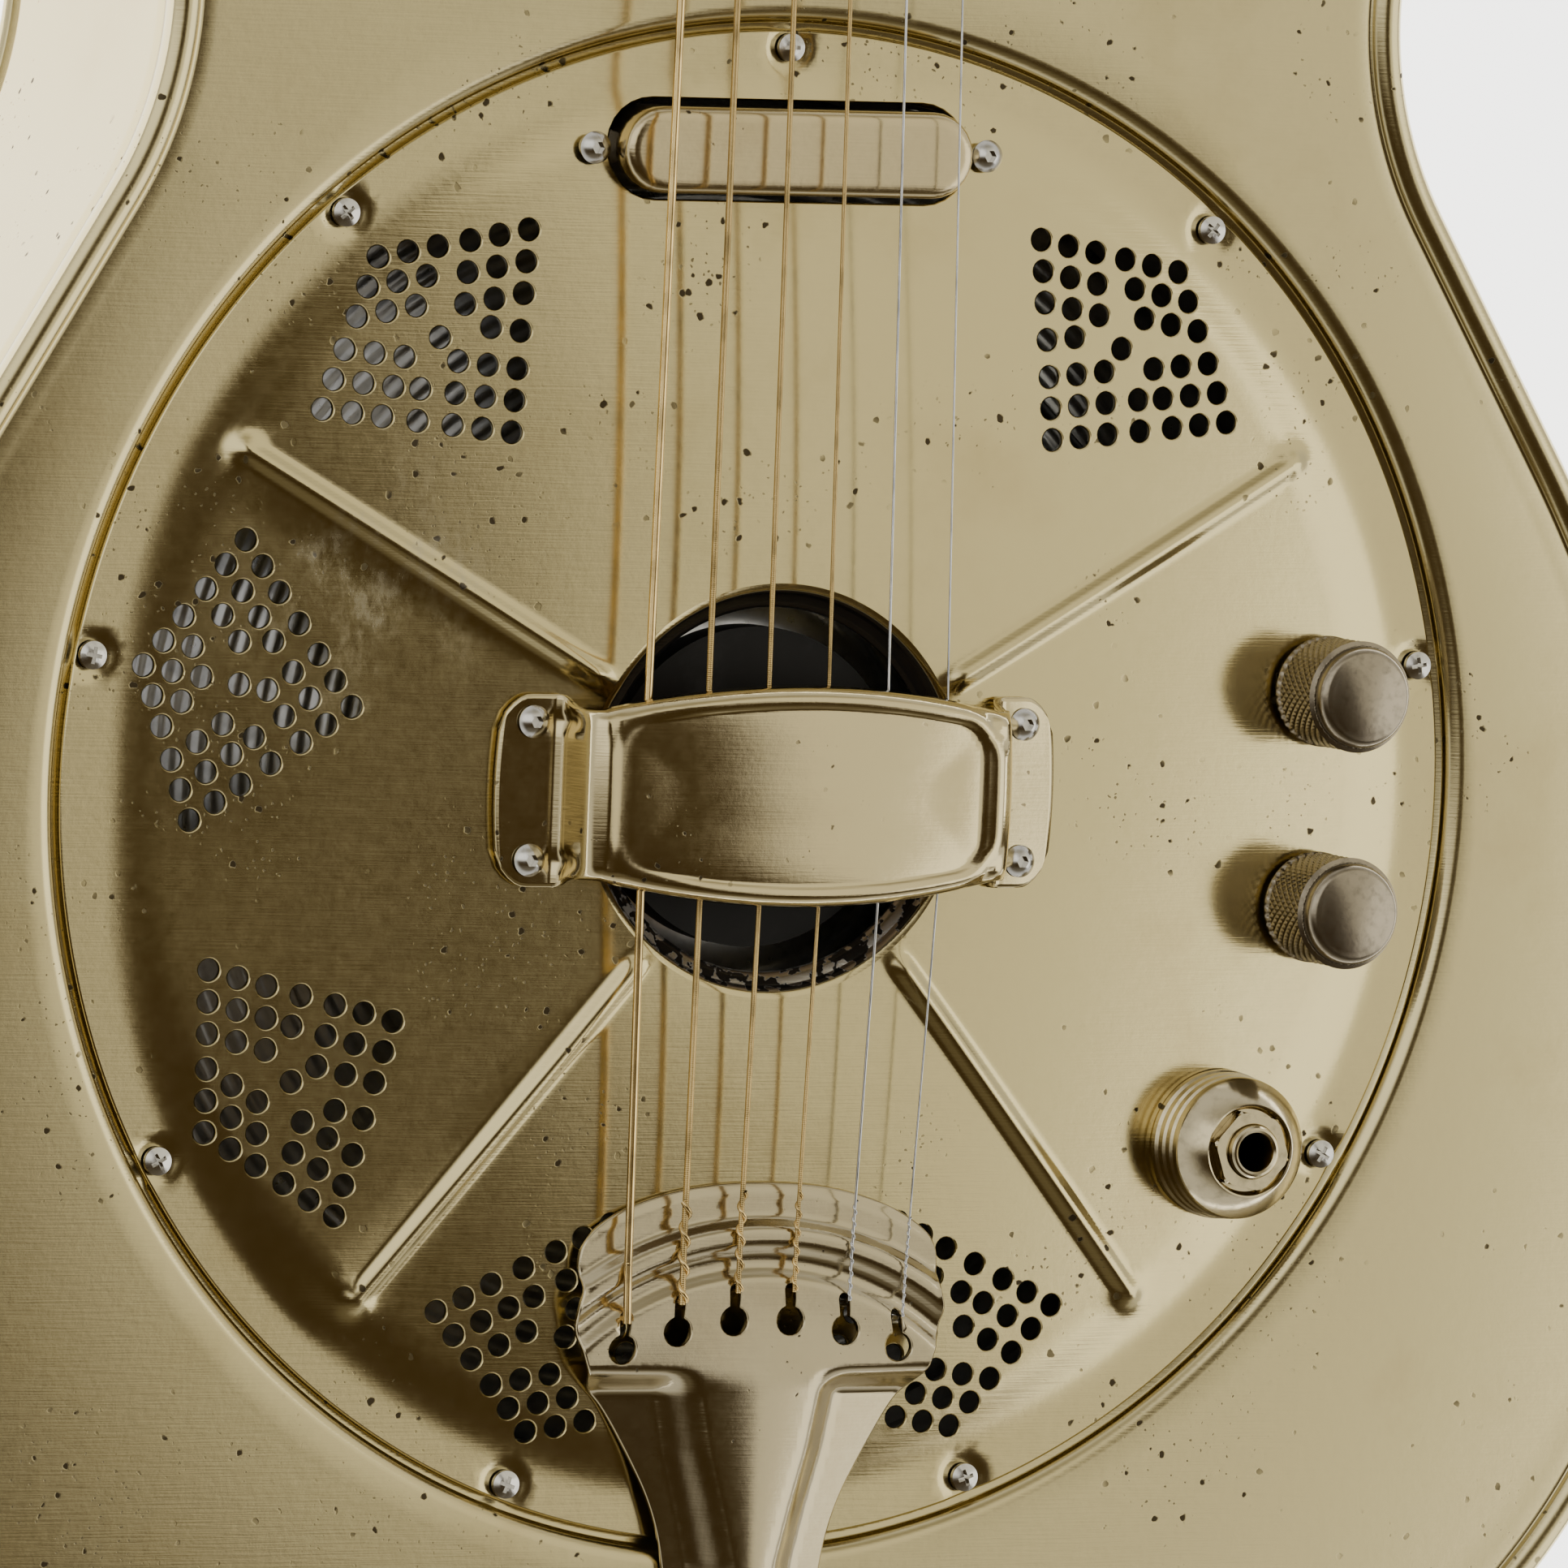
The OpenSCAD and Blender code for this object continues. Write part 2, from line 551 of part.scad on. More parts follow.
module truss_rod_cover() {
    color([0.06, 0.06, 0.06]) on_head() difference() {
        linear_extrude(1.6) polygon([[-9, 4], [9, 4], [6, 26], [0, 30], [-6, 26]]);
        for (p = cover_screw_places) at(p, -1) cylinder(r = 1.2, h = 5);
    }
}
cover_screw_places = [[-5.5, 8], [5.5, 8], [0, 25]];
module headstock_screws() {
    color(bright) on_head() {
        for (p = cover_screw_places) at(p, 1.62) pan_screw(2, 1.1, 1, 1.5);
        for (k = [1:6], s = [-1, 1]) translate([post_x(k) - post_side(k) * 4, post_y(k) + 4 + s * 14.6, -head_t - 2.1])
            mirror([0, 0, 1]) pan_screw(2, 1.1, 1.1, 2);
    }
}

// Tuners: worm on the key turns the wheel on the post
wheel_r = 5.4;
worm_r = 2.2;
worm_y = wheel_r + worm_r + 0.3;
gear_z = -head_t - 5.2;
module tuner_housings() {
    color(bright) on_head() for (k = [1:6]) translate([post_x(k), post_y(k), 0]) difference() {
        union() {
            translate([-8, -8, -head_t - 9.5]) cube([16, 20.5, 9.45]);
            translate([post_side(k) * -4 - 4, -14, -head_t - 2]) cube([8, 36, 1.95]);
        }
        translate([-6.8, -6.8, -head_t - 8.3]) cube([13.6, 18.1, 6.9]);
        translate([0, 0, -head_t - 3]) cylinder(r = 3 + slack, h = 5);
        translate([0, worm_y, gear_z]) rotate([0, 90, 0]) translate([0, 0, post_side(k) > 0 ? 0 : -20])
            cylinder(r = 1.6 + slack, h = 20);
        for (s = [-1, 1]) translate([post_side(k) * -4, 4 + s * 14.6, -head_t - 3]) cylinder(r = 1.2, h = 5);
    }
}
module tuner_bushings() {
    color(bright) on_head() for (k = [1:6]) translate([post_x(k), post_y(k), 0]) difference() {
        union() {
            translate([0, 0, -8]) cylinder(r = 4.95, h = 8.1);
            translate([0, 0, 0.02]) cylinder(r = 6, h = 1.6);
        }
        translate([0, 0, -20]) cylinder(r = 3 + slack, h = 40);
    }
}
coil_z = 5;
module tuner_post(k) {
    color(bright) on_head() translate([post_x(k), post_y(k), 0]) {
        difference() {
            translate([0, 0, gear_z - 2]) cylinder(r = 3, h = -gear_z + 17);
            translate([-5, 0, 11]) rotate([0, 90, 0]) cylinder(r = 0.9, h = 10, $fn = 24);
        }
        translate([0, 0, gear_z - 2]) cylinder(r = wheel_r, h = 4);
        translate([0, 0, coil_z - 3 * string_radii[k - 1]])
            cylinder(r = 3 + 2 * string_radii[k - 1], h = 6 * string_radii[k - 1]);
    }
}
module tuner_key(k) {
    color([0.88, 0.85, 0.75]) on_head() translate([post_x(k), post_y(k) + worm_y, gear_z])
        mirror([post_side(k) > 0 ? 0 : 1, 0, 0]) rotate([0, 90, 0]) {
            translate([0, 0, -5.5]) cylinder(r = worm_r, h = 11);
            cylinder(r = 1.6, h = 24);
            intersection() {
                translate([0, 0, 21]) rotate_extrude() polygon([[0, 0], [3.6, 0], [4.4, 2], [8, 4], [9.6, 7.5],
                    [9.2, 11.5], [6.5, 14.5], [0, 15.5]]);
                translate([-4, -12, 20]) cube([8, 24, 20]);
            }
        }
}
module tuner_post_1() { tuner_post(1); }
module tuner_post_2() { tuner_post(2); }
module tuner_post_3() { tuner_post(3); }
module tuner_post_4() { tuner_post(4); }
module tuner_post_5() { tuner_post(5); }
module tuner_post_6() { tuner_post(6); }
module tuner_key_1() { tuner_key(1); }
module tuner_key_2() { tuner_key(2); }
module tuner_key_3() { tuner_key(3); }
module tuner_key_4() { tuner_key(4); }
module tuner_key_5() { tuner_key(5); }
module tuner_key_6() { tuner_key(6); }

// Strings: ball end, run over the tailpiece to the saddle, over the nut, and to the post
function turned(p, a) = [p[0], p[1] * cos(a) - p[2] * sin(a), p[1] * sin(a) + p[2] * cos(a)];
function neck_point(p) = turned(p - [0, joint_y, board_z], -neck_angle) + [0, joint_y, board_z];
function head_point(p) = neck_point(turned(p, -head_angle) + [0, nut_y + 5, board_z - board_t]);
function keyhole(i) = i < 4 ? [-keyholes[i - 1][0], keyholes[i - 1][1]] : keyholes[6 - i];
module string(i) {
    r = string_radii[i - 1];
    slot = keyhole(i) + [0, 5.2];
    ball = [slot[0], slot[1], seat_z + 4.4];
    exit = [slot[0], slot[1] + 0.3, seat_z + 9.4 + r];
    ridge = [lerp(slot[0], string_x(i, saddle_spread), 0.1), slot[1] + 10, seat_z + 9.5 + r];
    bridge = [string_x(i, saddle_spread), 0, saddle_top_z + r];
    at_nut = neck_point([string_x(i, nut_spread), nut_y + 4.95, board_z + nut_top + r + 0.05]);
    post_gap = 3 + 3 * r + 0.35;
    at_post = head_point([post_x(i) - post_side(i) * post_gap, post_y(i), coil_z]);
    color(i < 5 ? [0.75, 0.55, 0.2] : [0.8, 0.8, 0.8]) {
        translate([ball[0] - 1.5, ball[1], ball[2]]) rotate([0, 90, 0]) cylinder(r = 1.7, h = 3);
        wire(ball, exit, 0.85 * r);
        wire(exit - [0, r, 0], ridge, r);
        wire(ridge, bridge, r);
        wire(bridge, at_nut, r);
        wire(at_nut, at_post, r);
        for (p = [ridge, bridge, at_nut]) translate(p) sphere(r = r + joint_swell, $fn = 24);
    }
}
module string_1() { string(1); }
module string_2() { string(2); }
module string_3() { string(3); }
module string_4() { string(4); }
module string_5() { string(5); }
module string_6() { string(6); }

body_back();
body_sides();
body_top();
neck_stick();
sound_well();
cone();
biscuit();
biscuit_screw();
saddle();
cover_plate();
cover_plate_screws();
hand_rest();
hand_rest_screws();
tailpiece();
end_pin();
pickup_cover();
pickup_coil();
pickup_magnet();
pickup_base_plate();
pickup_screws();
pickup_springs();
volume_knob();
tone_knob();
volume_pot_shaft();
tone_pot_shaft();
pot_cases();
pot_nuts();
jack_cup();
jack_nut();
jack_barrel();
jack_contacts();
wiring();
neck();
fretboard();
frets();
fret_markers();
nut();
truss_rod();
truss_rod_cover();
tuner_housings();
tuner_bushings();
headstock_screws();
tuner_post_1();
tuner_post_2();
tuner_post_3();
tuner_post_4();
tuner_post_5();
tuner_post_6();
tuner_key_1();
tuner_key_2();
tuner_key_3();
tuner_key_4();
tuner_key_5();
tuner_key_6();
string_1();
string_2();
string_3();
string_4();
string_5();
string_6();
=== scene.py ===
import math
import bmesh
import bpy
import mathutils
import numpy as np
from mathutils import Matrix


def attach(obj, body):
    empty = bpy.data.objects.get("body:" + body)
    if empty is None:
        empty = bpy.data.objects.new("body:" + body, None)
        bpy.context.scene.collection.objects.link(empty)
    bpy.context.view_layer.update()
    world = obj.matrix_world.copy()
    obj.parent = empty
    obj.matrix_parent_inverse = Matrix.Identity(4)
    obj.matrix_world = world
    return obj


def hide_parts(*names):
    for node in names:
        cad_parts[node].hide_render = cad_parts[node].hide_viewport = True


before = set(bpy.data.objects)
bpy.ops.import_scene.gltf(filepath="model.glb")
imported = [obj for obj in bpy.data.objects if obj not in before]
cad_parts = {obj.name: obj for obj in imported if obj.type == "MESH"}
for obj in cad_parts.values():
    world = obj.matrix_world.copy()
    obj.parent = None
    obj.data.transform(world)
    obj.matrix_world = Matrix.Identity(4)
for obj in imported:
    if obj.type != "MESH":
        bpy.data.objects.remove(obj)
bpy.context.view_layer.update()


# Camera: a long lens above the bass side, leaning a little to the neck. The three turns carry the guitar's
# axes into the lens's own, and the lens stands back far enough to be almost without perspective.
MM = 0.001
SEAT = 74.0  # height of the cover plate's flange above the back
LENS_LENGTH = 371.6
LEAN_NECK, LEAN_BASS, ROLL = np.radians([4.170, 25.113, -2.200])
AIM = np.array([3.90, 0.79, 2816.9]) * MM


def turn(axis, angle):
    """Rotation about one axis, as a 3 by 3 matrix."""
    return np.array(mathutils.Matrix.Rotation(angle, 3, axis))


to_lens = turn("Z", ROLL) @ turn("X", LEAN_NECK) @ turn("Y", LEAN_BASS)
camera_place = to_lens.T @ AIM + [0, 0, SEAT * MM]
camera = bpy.data.objects.new("camera", bpy.data.cameras.new("camera"))
bpy.context.scene.collection.objects.link(camera)
pose = np.eye(4)
pose[:3, :3] = to_lens.T
pose[:3, 3] = camera_place
camera.matrix_world = mathutils.Matrix(pose)
camera.data.lens = LENS_LENGTH
camera.data.clip_end = 20
bpy.context.scene.camera = camera


# Floor and light: a white sweep, a wide soft box on the treble side, and a room that is dark overhead
# towards the bass side, so that the plated sheet shows one pale and one dark reflection.
class Link:
    """A socket's output; arithmetic on it adds Math nodes."""

    def __init__(self, tree, socket):
        self.tree, self.socket = tree, socket

    def _math(self, operation, first, second):
        return node(self.tree, "ShaderNodeMath", {"operation": operation}, [first, second])

    def __add__(self, other):
        return self._math("ADD", self, other)

    def __sub__(self, other):
        return self._math("SUBTRACT", self, other)

    def __rsub__(self, other):
        return self._math("SUBTRACT", other, self)

    def __mul__(self, other):
        return self._math("MULTIPLY", self, other)

    __radd__, __rmul__ = __add__, __mul__

    def into(self, shader, name):
        """Feed a named socket of a node."""
        self.tree.links.new(self.socket, shader.inputs[name])

    def clip(self):
        """Held between 0 and 1."""
        return node(self.tree, "ShaderNodeClamp", {}, [self])

    def over(self, low, high):
        """0 below low, 1 above high, smooth between."""
        settings = {"interpolation_type": "SMOOTHSTEP"}
        sockets = {"Value": self, "From Min": low, "From Max": high}
        return node(self.tree, "ShaderNodeMapRange", settings, sockets)


def node(tree, kind, settings, sockets, out=0):
    """Add one node, set it up, and feed its sockets with values or links."""
    made = tree.nodes.new(kind)
    for key, value in settings.items():
        setattr(made, key, value)
    pairs = sockets.items() if isinstance(sockets, dict) else enumerate(sockets)
    for key, value in pairs:
        if isinstance(value, Link):
            tree.links.new(value.socket, made.inputs[key])
        else:
            made.inputs[key].default_value = value
    return Link(tree, made.outputs[out])


def mix(factor, first, second, kind="RGBA"):
    """Blend two colours or two numbers by a linked factor; a Mix node's sockets go by number."""
    slot, out = {"RGBA": (6, 2), "FLOAT": (2, 0)}[kind]
    sockets = {0: factor, slot: first, slot + 1: second}
    return node(factor.tree, "ShaderNodeMix", {"data_type": kind}, sockets, out)


def ramp(link, *stops):
    """A colour ramp through (place, colour) stops."""
    made = link.tree.nodes.new("ShaderNodeValToRGB")
    while len(made.color_ramp.elements) < len(stops):
        made.color_ramp.elements.new(0.5)
    for element, (place, colour) in zip(made.color_ramp.elements, stops):
        element.position = place
        element.color = (*colour, 1)
    link.tree.links.new(link.socket, made.inputs[0])
    return Link(link.tree, made.outputs[0])


def apart(link):
    """The x, y and z of a vector."""
    split = node(link.tree, "ShaderNodeSeparateXYZ", {}, [link]).socket.node
    return [Link(link.tree, socket) for socket in split.outputs]


DARK_WALL = (0.07, 0.046, 0.018, 1)
GREY_WALL = (0.62, 0.61, 0.62, 1)
PALE_BOX = (1.22, 1.17, 0.99, 1)
FAR_BOX = (1.7, 1.68, 1.6, 1)
DIM_ENDS = (0.24, 0.21, 0.15, 1)
LOW_WALLS = (0.95, 0.94, 0.9, 1)
world = bpy.data.worlds.new("studio")
bpy.context.scene.world = world
world.use_nodes = True
sky = world.node_tree
sky.nodes.clear()
ray_x, ray_y, ray_z = apart(node(sky, "ShaderNodeTexCoord", {}, {}, "Generated"))
headwards = ray_y.over(0.0, 1.0)
tailwards = (0 - ray_y).over(0.12, 1.0)
box_edge = ray_x + 0.2 * ray_y + 0.55 * headwards - 0.9 * tailwards
room = mix(box_edge.over(0.30, 0.36), DARK_WALL, GREY_WALL)
room = mix(box_edge.over(0.34, 0.41), room, PALE_BOX)
room = mix((0.08 - ray_x).over(0.0, 0.3) * (ray_y + 0.22).over(0.0, 0.36), room, FAR_BOX)
room = mix((ray_y * ray_y).over(0.2, 0.6) * 0.75, room, DIM_ENDS)
room = mix((0.55 - ray_z).over(0.0, 0.35), room, LOW_WALLS)
background = node(sky, "ShaderNodeBackground", {}, {"Color": room, "Strength": 1.0})
background.into(sky.nodes.new("ShaderNodeOutputWorld"), "Surface")


soft_box = bpy.data.lights.new("treble_box", "AREA")
soft_box.size = 2.0
soft_box.energy = 14
lamp = bpy.data.objects.new("treble_box", soft_box)
bpy.context.scene.collection.objects.link(lamp)
lamp.location = (2.3, -0.5, 1.7)
towards_body = mathutils.Vector((0, 0, 0.05)) - lamp.location
lamp.rotation_euler = towards_body.to_track_quat("-Z", "Y").to_euler()


def put_mesh(name, points, faces):
    """Make an object at the origin from arrays of points (metres) and faces; doubled points become one."""
    mesh = bpy.data.meshes.new(name)
    mesh.from_pydata(points, [], faces)
    shell = bmesh.new()
    shell.from_mesh(mesh)
    bmesh.ops.remove_doubles(shell, verts=shell.verts, dist=1e-6)
    shell.to_mesh(mesh)
    shell.free()
    mesh.polygons.foreach_set("use_smooth", np.full(len(mesh.polygons), True))
    piece = bpy.data.objects.new(name, mesh)
    bpy.context.scene.collection.objects.link(piece)
    return piece


def grid_faces(rows, columns, loop_rows=False, loop_columns=False):
    """Quads of a grid whose points are numbered row by row, optionally closed either way."""
    last_row, last_column = rows - (not loop_rows), columns - (not loop_columns)
    i, j = np.meshgrid(np.arange(last_row), np.arange(last_column), indexing="ij")
    i, j = i.ravel(), j.ravel()
    k, m = (i + 1) % rows, (j + 1) % columns
    return np.stack([i * columns + j, k * columns + j, k * columns + m, i * columns + m], 1)


def grid(name, x, y, z, loop_rows=False, loop_columns=False, flip=False):
    """A surface from three 2-D arrays of millimetres."""
    x, y, z = np.broadcast_arrays(x, y, z)
    points = np.stack([x, y, z], -1).reshape(-1, 3) * MM
    faces = grid_faces(x.shape[0], x.shape[1], loop_rows, loop_columns)
    return put_mesh(name, points, faces[:, ::-1] if flip else faces)


def blank(name, metallic=0.0):
    """A new material, its shader, and the place of a point in the object's own coordinates."""
    material = bpy.data.materials.new(name)
    material.use_nodes = True
    shader = material.node_tree.nodes["Principled BSDF"]
    shader.inputs["Metallic"].default_value = metallic
    return material, shader, node(material.node_tree, "ShaderNodeTexCoord", {}, {}, "Object")


def noise(place, scale, detail=2.0, roughness=0.5, distortion=0.0, out=0):
    """Cloudy noise at a place; out 0 gives one number, out 1 gives three."""
    sockets = {"Vector": place, "Scale": scale, "Detail": detail,
               "Roughness": roughness, "Distortion": distortion}
    return node(place.tree, "ShaderNodeTexNoise", {}, sockets, out)


FLOOR_HALF = 6000
floor_u, floor_v = np.meshgrid([-FLOOR_HALF, 0, FLOOR_HALF], [-FLOOR_HALF, 0, FLOOR_HALF], indexing="ij")
floor = grid("floor", floor_u, floor_v, 0 * floor_u)
paper, paper_shader, paper_place = blank("white_paper")
tooth = ramp(noise(paper_place, 33.0, 4.0), (0.0, (0.93, 0.93, 0.92)), (1.0, (0.97, 0.97, 0.96)))
tooth.into(paper_shader, "Base Color")
paper_shader.inputs["Roughness"].default_value = 0.9
paper_shader.inputs["Emission Color"].default_value = (1, 1, 0.99, 1)
paper_shader.inputs["Emission Strength"].default_value = 3.2
floor.data.materials.append(paper)


# Body: a top sheet pressed with a round recess for the cover plate, sides bent in one strip, and a back,
# soldered along a rolled bead. Nickel plate over it has worn to a warm, greyish khaki with small dark pits.
TARNISH = (0.36, 0.27, 0.12)
PIT_BROWN = (0.035, 0.024, 0.014, 1)


def stretched(place, scale, turned_by=0.0):
    """A place scaled each way and then turned about z, for drawn grain."""
    settings = {"Vector": place, "Scale": scale, "Rotation": (0, 0, turned_by)}
    return node(place.tree, "ShaderNodeMapping", {}, settings)


def roughen(shader, height, strength, distance):
    """A bump map on a shader."""
    sockets = {"Height": height, "Strength": strength, "Distance": distance}
    node(height.tree, "ShaderNodeBump", {}, sockets).into(shader, "Normal")


def satin_metal(name, colour, roughness, patina=0.35, pits=1.0, scale=1.0):
    """Worn plated sheet: cloudy tarnish, sparse dark pits, fine polishing scratches."""
    material, shader, place = blank(name, 1.0)
    cloud = noise(place, 22.0 * scale, 5.0, 0.6)
    grain = noise(place, 420 * scale, 4.0, 0.7)
    scratch = noise(stretched(place, (90, 2600, 90), 0.35), 1.0, 3.0)
    tint = tuple(c * (1 - patina) + s * patina for c, s in zip(colour, TARNISH))
    base = mix(cloud.over(0.5, 0.78), (*colour, 1), (*tint, 1))
    warp = [noise(place, 500.0, 3.0, out=1), (0.0016, 0.0016, 0.0016), place]
    moved = node(place.tree, "ShaderNodeVectorMath", {"operation": "MULTIPLY_ADD"}, warp)
    spots = node(place.tree, "ShaderNodeTexVoronoi", {}, {"Vector": moved, "Scale": 230.0})
    specks = node(place.tree, "ShaderNodeTexVoronoi", {}, {"Vector": moved, "Scale": 620.0})
    chance = noise(place, 34.0, 3.0)
    pit = (0.15 * pits - spots).over(0.0, 0.05) * chance.over(0.5, 0.58)
    pit = (pit + (0.16 * pits - specks).over(0.0, 0.06) * chance.over(0.54, 0.66) * 0.7).clip()
    mix(pit * 0.95, base, PIT_BROWN).into(shader, "Base Color")
    rough = roughness + (cloud - 0.5) * 0.10 + (grain - 0.5) * 0.10 + pit * 0.3
    rough.into(shader, "Roughness")
    roughen(shader, grain * 0.35 + scratch * 0.5 - pit * 1.5, 0.06, 0.0006)
    return material


body_metal = satin_metal("worn_body_nickel", (0.545, 0.463, 0.245), 0.19)

BODY_TOP = 76.0
SHEET_T = 0.8
JOINT_Y = 283.0
# arcs of half the outline: centre x, y, radius, first angle, last angle, +1 convex or -1 hollow
FLANK = (-44.3, -60, 230.8, 0, 31.1, 1)
WAIST = (184.2, 137.1, 66.7, 211.1, 159.3, -1)
OUTLINE_ARCS = [(0, 120.2, 315.2, -90, -71.07, 1), (61.8, -60, 124.7, -71.07, 0, 1), FLANK, WAIST,
                (47, 189, 80, -20.7, 56.8, 1), (0, 117.1, 165.9, 56.8, 90, 1)]


def spokes(degrees):
    """Unit vectors at one or more angles."""
    angle = np.radians(degrees)
    return np.stack([np.cos(angle), np.sin(angle)], -1)


def body_outline(spacing=2.5):
    """Points and outward normals round the body, counter-clockwise from the tail: arcs, then their mirror."""
    points, normals = [], []
    for arc in OUTLINE_ARCS:
        x, y, radius, first, last, bend = arc
        count = max(3, int(abs(np.radians(last - first)) * radius / spacing))
        spoke = spokes(np.linspace(first, last, count, endpoint=False))
        points.append([x, y] + radius * spoke)
        normals.append(bend * spoke)
        if arc is FLANK:  # a straight stretch joins it to the waist
            start = [x, y] + radius * spokes(last)
            end = WAIST[:2] + WAIST[2] * spokes(WAIST[3])
            steps = np.linspace(0, 1, 16, endpoint=False)[:, None]
            points.append(start + (end - start) * steps)
            normals.append(np.repeat(spokes([last]), 16, 0))
    right = np.concatenate(points + [[[0, JOINT_Y]]])
    right_out = np.concatenate(normals + [[[0, 1.0]]])
    left, left_out = right[-2:0:-1] * [-1, 1], right_out[-2:0:-1] * [-1, 1]
    return np.concatenate([right, left]), np.concatenate([right_out, left_out])


def solidify(piece, thickness):
    """Give a sheet its thickness, under its outer face."""
    wall = piece.modifiers.new("wall", "SOLIDIFY")
    wall.thickness = thickness * MM
    wall.offset = -1.0


def banded(name, columns):
    """A sheet of loops round the body, side by side: each is (plan points, height or heights)."""
    plan = np.stack([points for points, _ in columns], 1)
    heights = np.stack([np.broadcast_to(height, len(points)) for points, height in columns], 1)
    return grid(name, plan[..., 0], plan[..., 1], heights, loop_rows=True, flip=True)


rim, rim_out = body_outline()
WELL_R, LEDGE_DEPTH, FILLET, BEAD_INSET = 133.6, 3.0, 3.0, 2.75
well_spoke = rim / np.hypot(*rim.T)[:, None]
# from the well: (radius, height) pairs of the ledge, the wall and its rounded shoulder
shoulder = [(122.0, -LEDGE_DEPTH), (127.0, -LEDGE_DEPTH), (WELL_R - 0.4, -LEDGE_DEPTH), (WELL_R - 0.05, -2.7)]
for angle in np.linspace(0, math.pi / 2, 7):
    shoulder.append((WELL_R + FILLET * (1 - math.cos(angle)), -FILLET * 0.8 * (1 - math.sin(angle))))
# from the edge: (inset, height) pairs of the crease, the bead over the edge and its curl under
bead = [(9.0, 0.0), (6.4, -0.02), (5.7, -0.12), (5.45, 0.1)]
for angle in np.linspace(-1.3, 1.57, 12):
    bead.append((BEAD_INSET * (1 - math.sin(angle)), 0.1 + 1.85 * math.cos(angle)))
bead += [(0.0, -1.5), (0.15, -2.6), (0.8, -3.0), (1.0, -3.3)]
clear_of_board = 1 - np.clip((38 - np.abs(rim[:, 0])) / 6, 0, 1) * (rim[:, 1] > 200)
columns = [(well_spoke * radius, BODY_TOP + height) for radius, height in shoulder]
flat_in = well_spoke * shoulder[-1][0]
flat_out = rim - rim_out * bead[0][0]
across_flat = np.hypot(*(flat_out - flat_in).T)
sag = 1.3 * np.clip(across_flat / 50, 0, 1) * (1 - np.clip((rim[:, 1] - 55) / 60, 0, 1))
for step in np.linspace(0, 1, 14)[1:-1]:
    columns.append((flat_in + (flat_out - flat_in) * step, BODY_TOP - sag * step ** 2))
for inset, height in bead:
    risen = height * np.where(height > 0, clear_of_board, 1)
    columns.append((rim - rim_out * inset, BODY_TOP - sag * np.clip(1 + height / 3, 0, 1) + risen))
top_sheet = banded("top_sheet", columns)
top_sheet.data.materials.append(body_metal)
solidify(top_sheet, SHEET_T)
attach(top_sheet, "root")
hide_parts("body_top")

side_profile = [(1.0, BODY_TOP - 3.1), (0.9, BODY_TOP - 8), (0.9, 40), (0.9, 8), (1.0, 3.1)]
side_strip = banded("side_strip", [(rim - rim_out * inset, height) for inset, height in side_profile])
side_strip.data.materials.append(body_metal)
solidify(side_strip, SHEET_T)
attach(side_strip, "root")
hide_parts("body_sides")

back_profile = [(1.0, 3.3), (0.8, 2.9), (0.15, 2.5), (0.0, 1.6), (0.3, 0.6), (1.4, 0.05),
                (3.0, 0.0), (6.0, 0.0)]
columns = [(rim - rim_out * inset, height) for inset, height in back_profile]
back_edge = columns[-1][0]
columns += [(back_edge * (1 - step), 0.0) for step in np.linspace(0, 1, 12)[1:]]
back_sheet = banded("back_sheet", columns)
back_sheet.data.materials.append(body_metal)
solidify(back_sheet, SHEET_T)
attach(back_sheet, "root")
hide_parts("body_back")


# Cone: spun aluminium, with the lathe's rings still on it, its rim resting in the sound well; a black
# lacquered wooden biscuit screwed on its crown carries the maple saddle.
def turned(name, radii, heights, count=128, centre=(0, 0)):
    """A profile of radii and heights turned about an upright axis."""
    angle = np.linspace(0, 2 * math.pi, count, endpoint=False)[:, None]
    radii, heights = np.asarray(radii, float)[None], np.asarray(heights, float)[None]
    return grid(name, centre[0] + np.cos(angle) * radii, centre[1] + np.sin(angle) * radii,
                heights + 0 * angle, loop_rows=True, flip=True)


def plain_metal(name, colour, roughness, scale, bump):
    """Clean plated or bare metal with a faint unevenness."""
    material, shader, place = blank(name, 1.0)
    cloud = noise(place, scale, 4.0)
    dull = tuple(c * 0.72 for c in colour)
    mix(cloud.over(0.45, 0.8), (*colour, 1), (*dull, 1)).into(shader, "Base Color")
    (cloud * 0.14 + (roughness - 0.07)).into(shader, "Roughness")
    roughen(shader, cloud, bump, 0.0005)
    return material


cone_metal = plain_metal("spun_aluminium", (0.82, 0.82, 0.83), 0.3, 300, 0.1)
cone_bends, cone_levels = [0, 32, 36, 112, 116, 120.5], [63, 63, 59, 41.8, 40.6, 40.6]
cone_r = np.concatenate([np.linspace(0, 32, 6), np.linspace(34, 112, 190), [114, 116, 120.5]])
cone_z = np.interp(cone_r, cone_bends, cone_levels)
lathe = 0.10 * np.sin(cone_r * 2.6) + 0.05 * np.sin(cone_r * 7.1 + 1)
cone_z = cone_z + np.where((cone_r > 34) & (cone_r < 113), lathe, 0)
cone = turned("spun_cone", cone_r, cone_z)
cone.data.materials.append(cone_metal)
solidify(cone, 0.5)
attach(cone, "root")
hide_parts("cone")


def lacquer(name, colour, roughness=0.12, metallic=0.0, dust=0.25, scale=60.0):
    """Gloss paint or plastic with faint dust and smears."""
    material, shader, place = blank(name, metallic)
    smear = noise(place, scale, 6.0, 0.7)
    pale = tuple(min(1, c * 1.25 + 0.02) for c in colour)
    mix(smear.over(0.5, 0.85) * dust, (*colour, 1), (*pale, 1)).into(shader, "Base Color")
    (smear * 0.2 + (roughness - 0.08)).clip().into(shader, "Roughness")
    return material


def finish(material, *names):
    """Put one material in every slot of the named CAD nodes."""
    for name in names:
        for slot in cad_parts[name].material_slots:
            slot.material = material


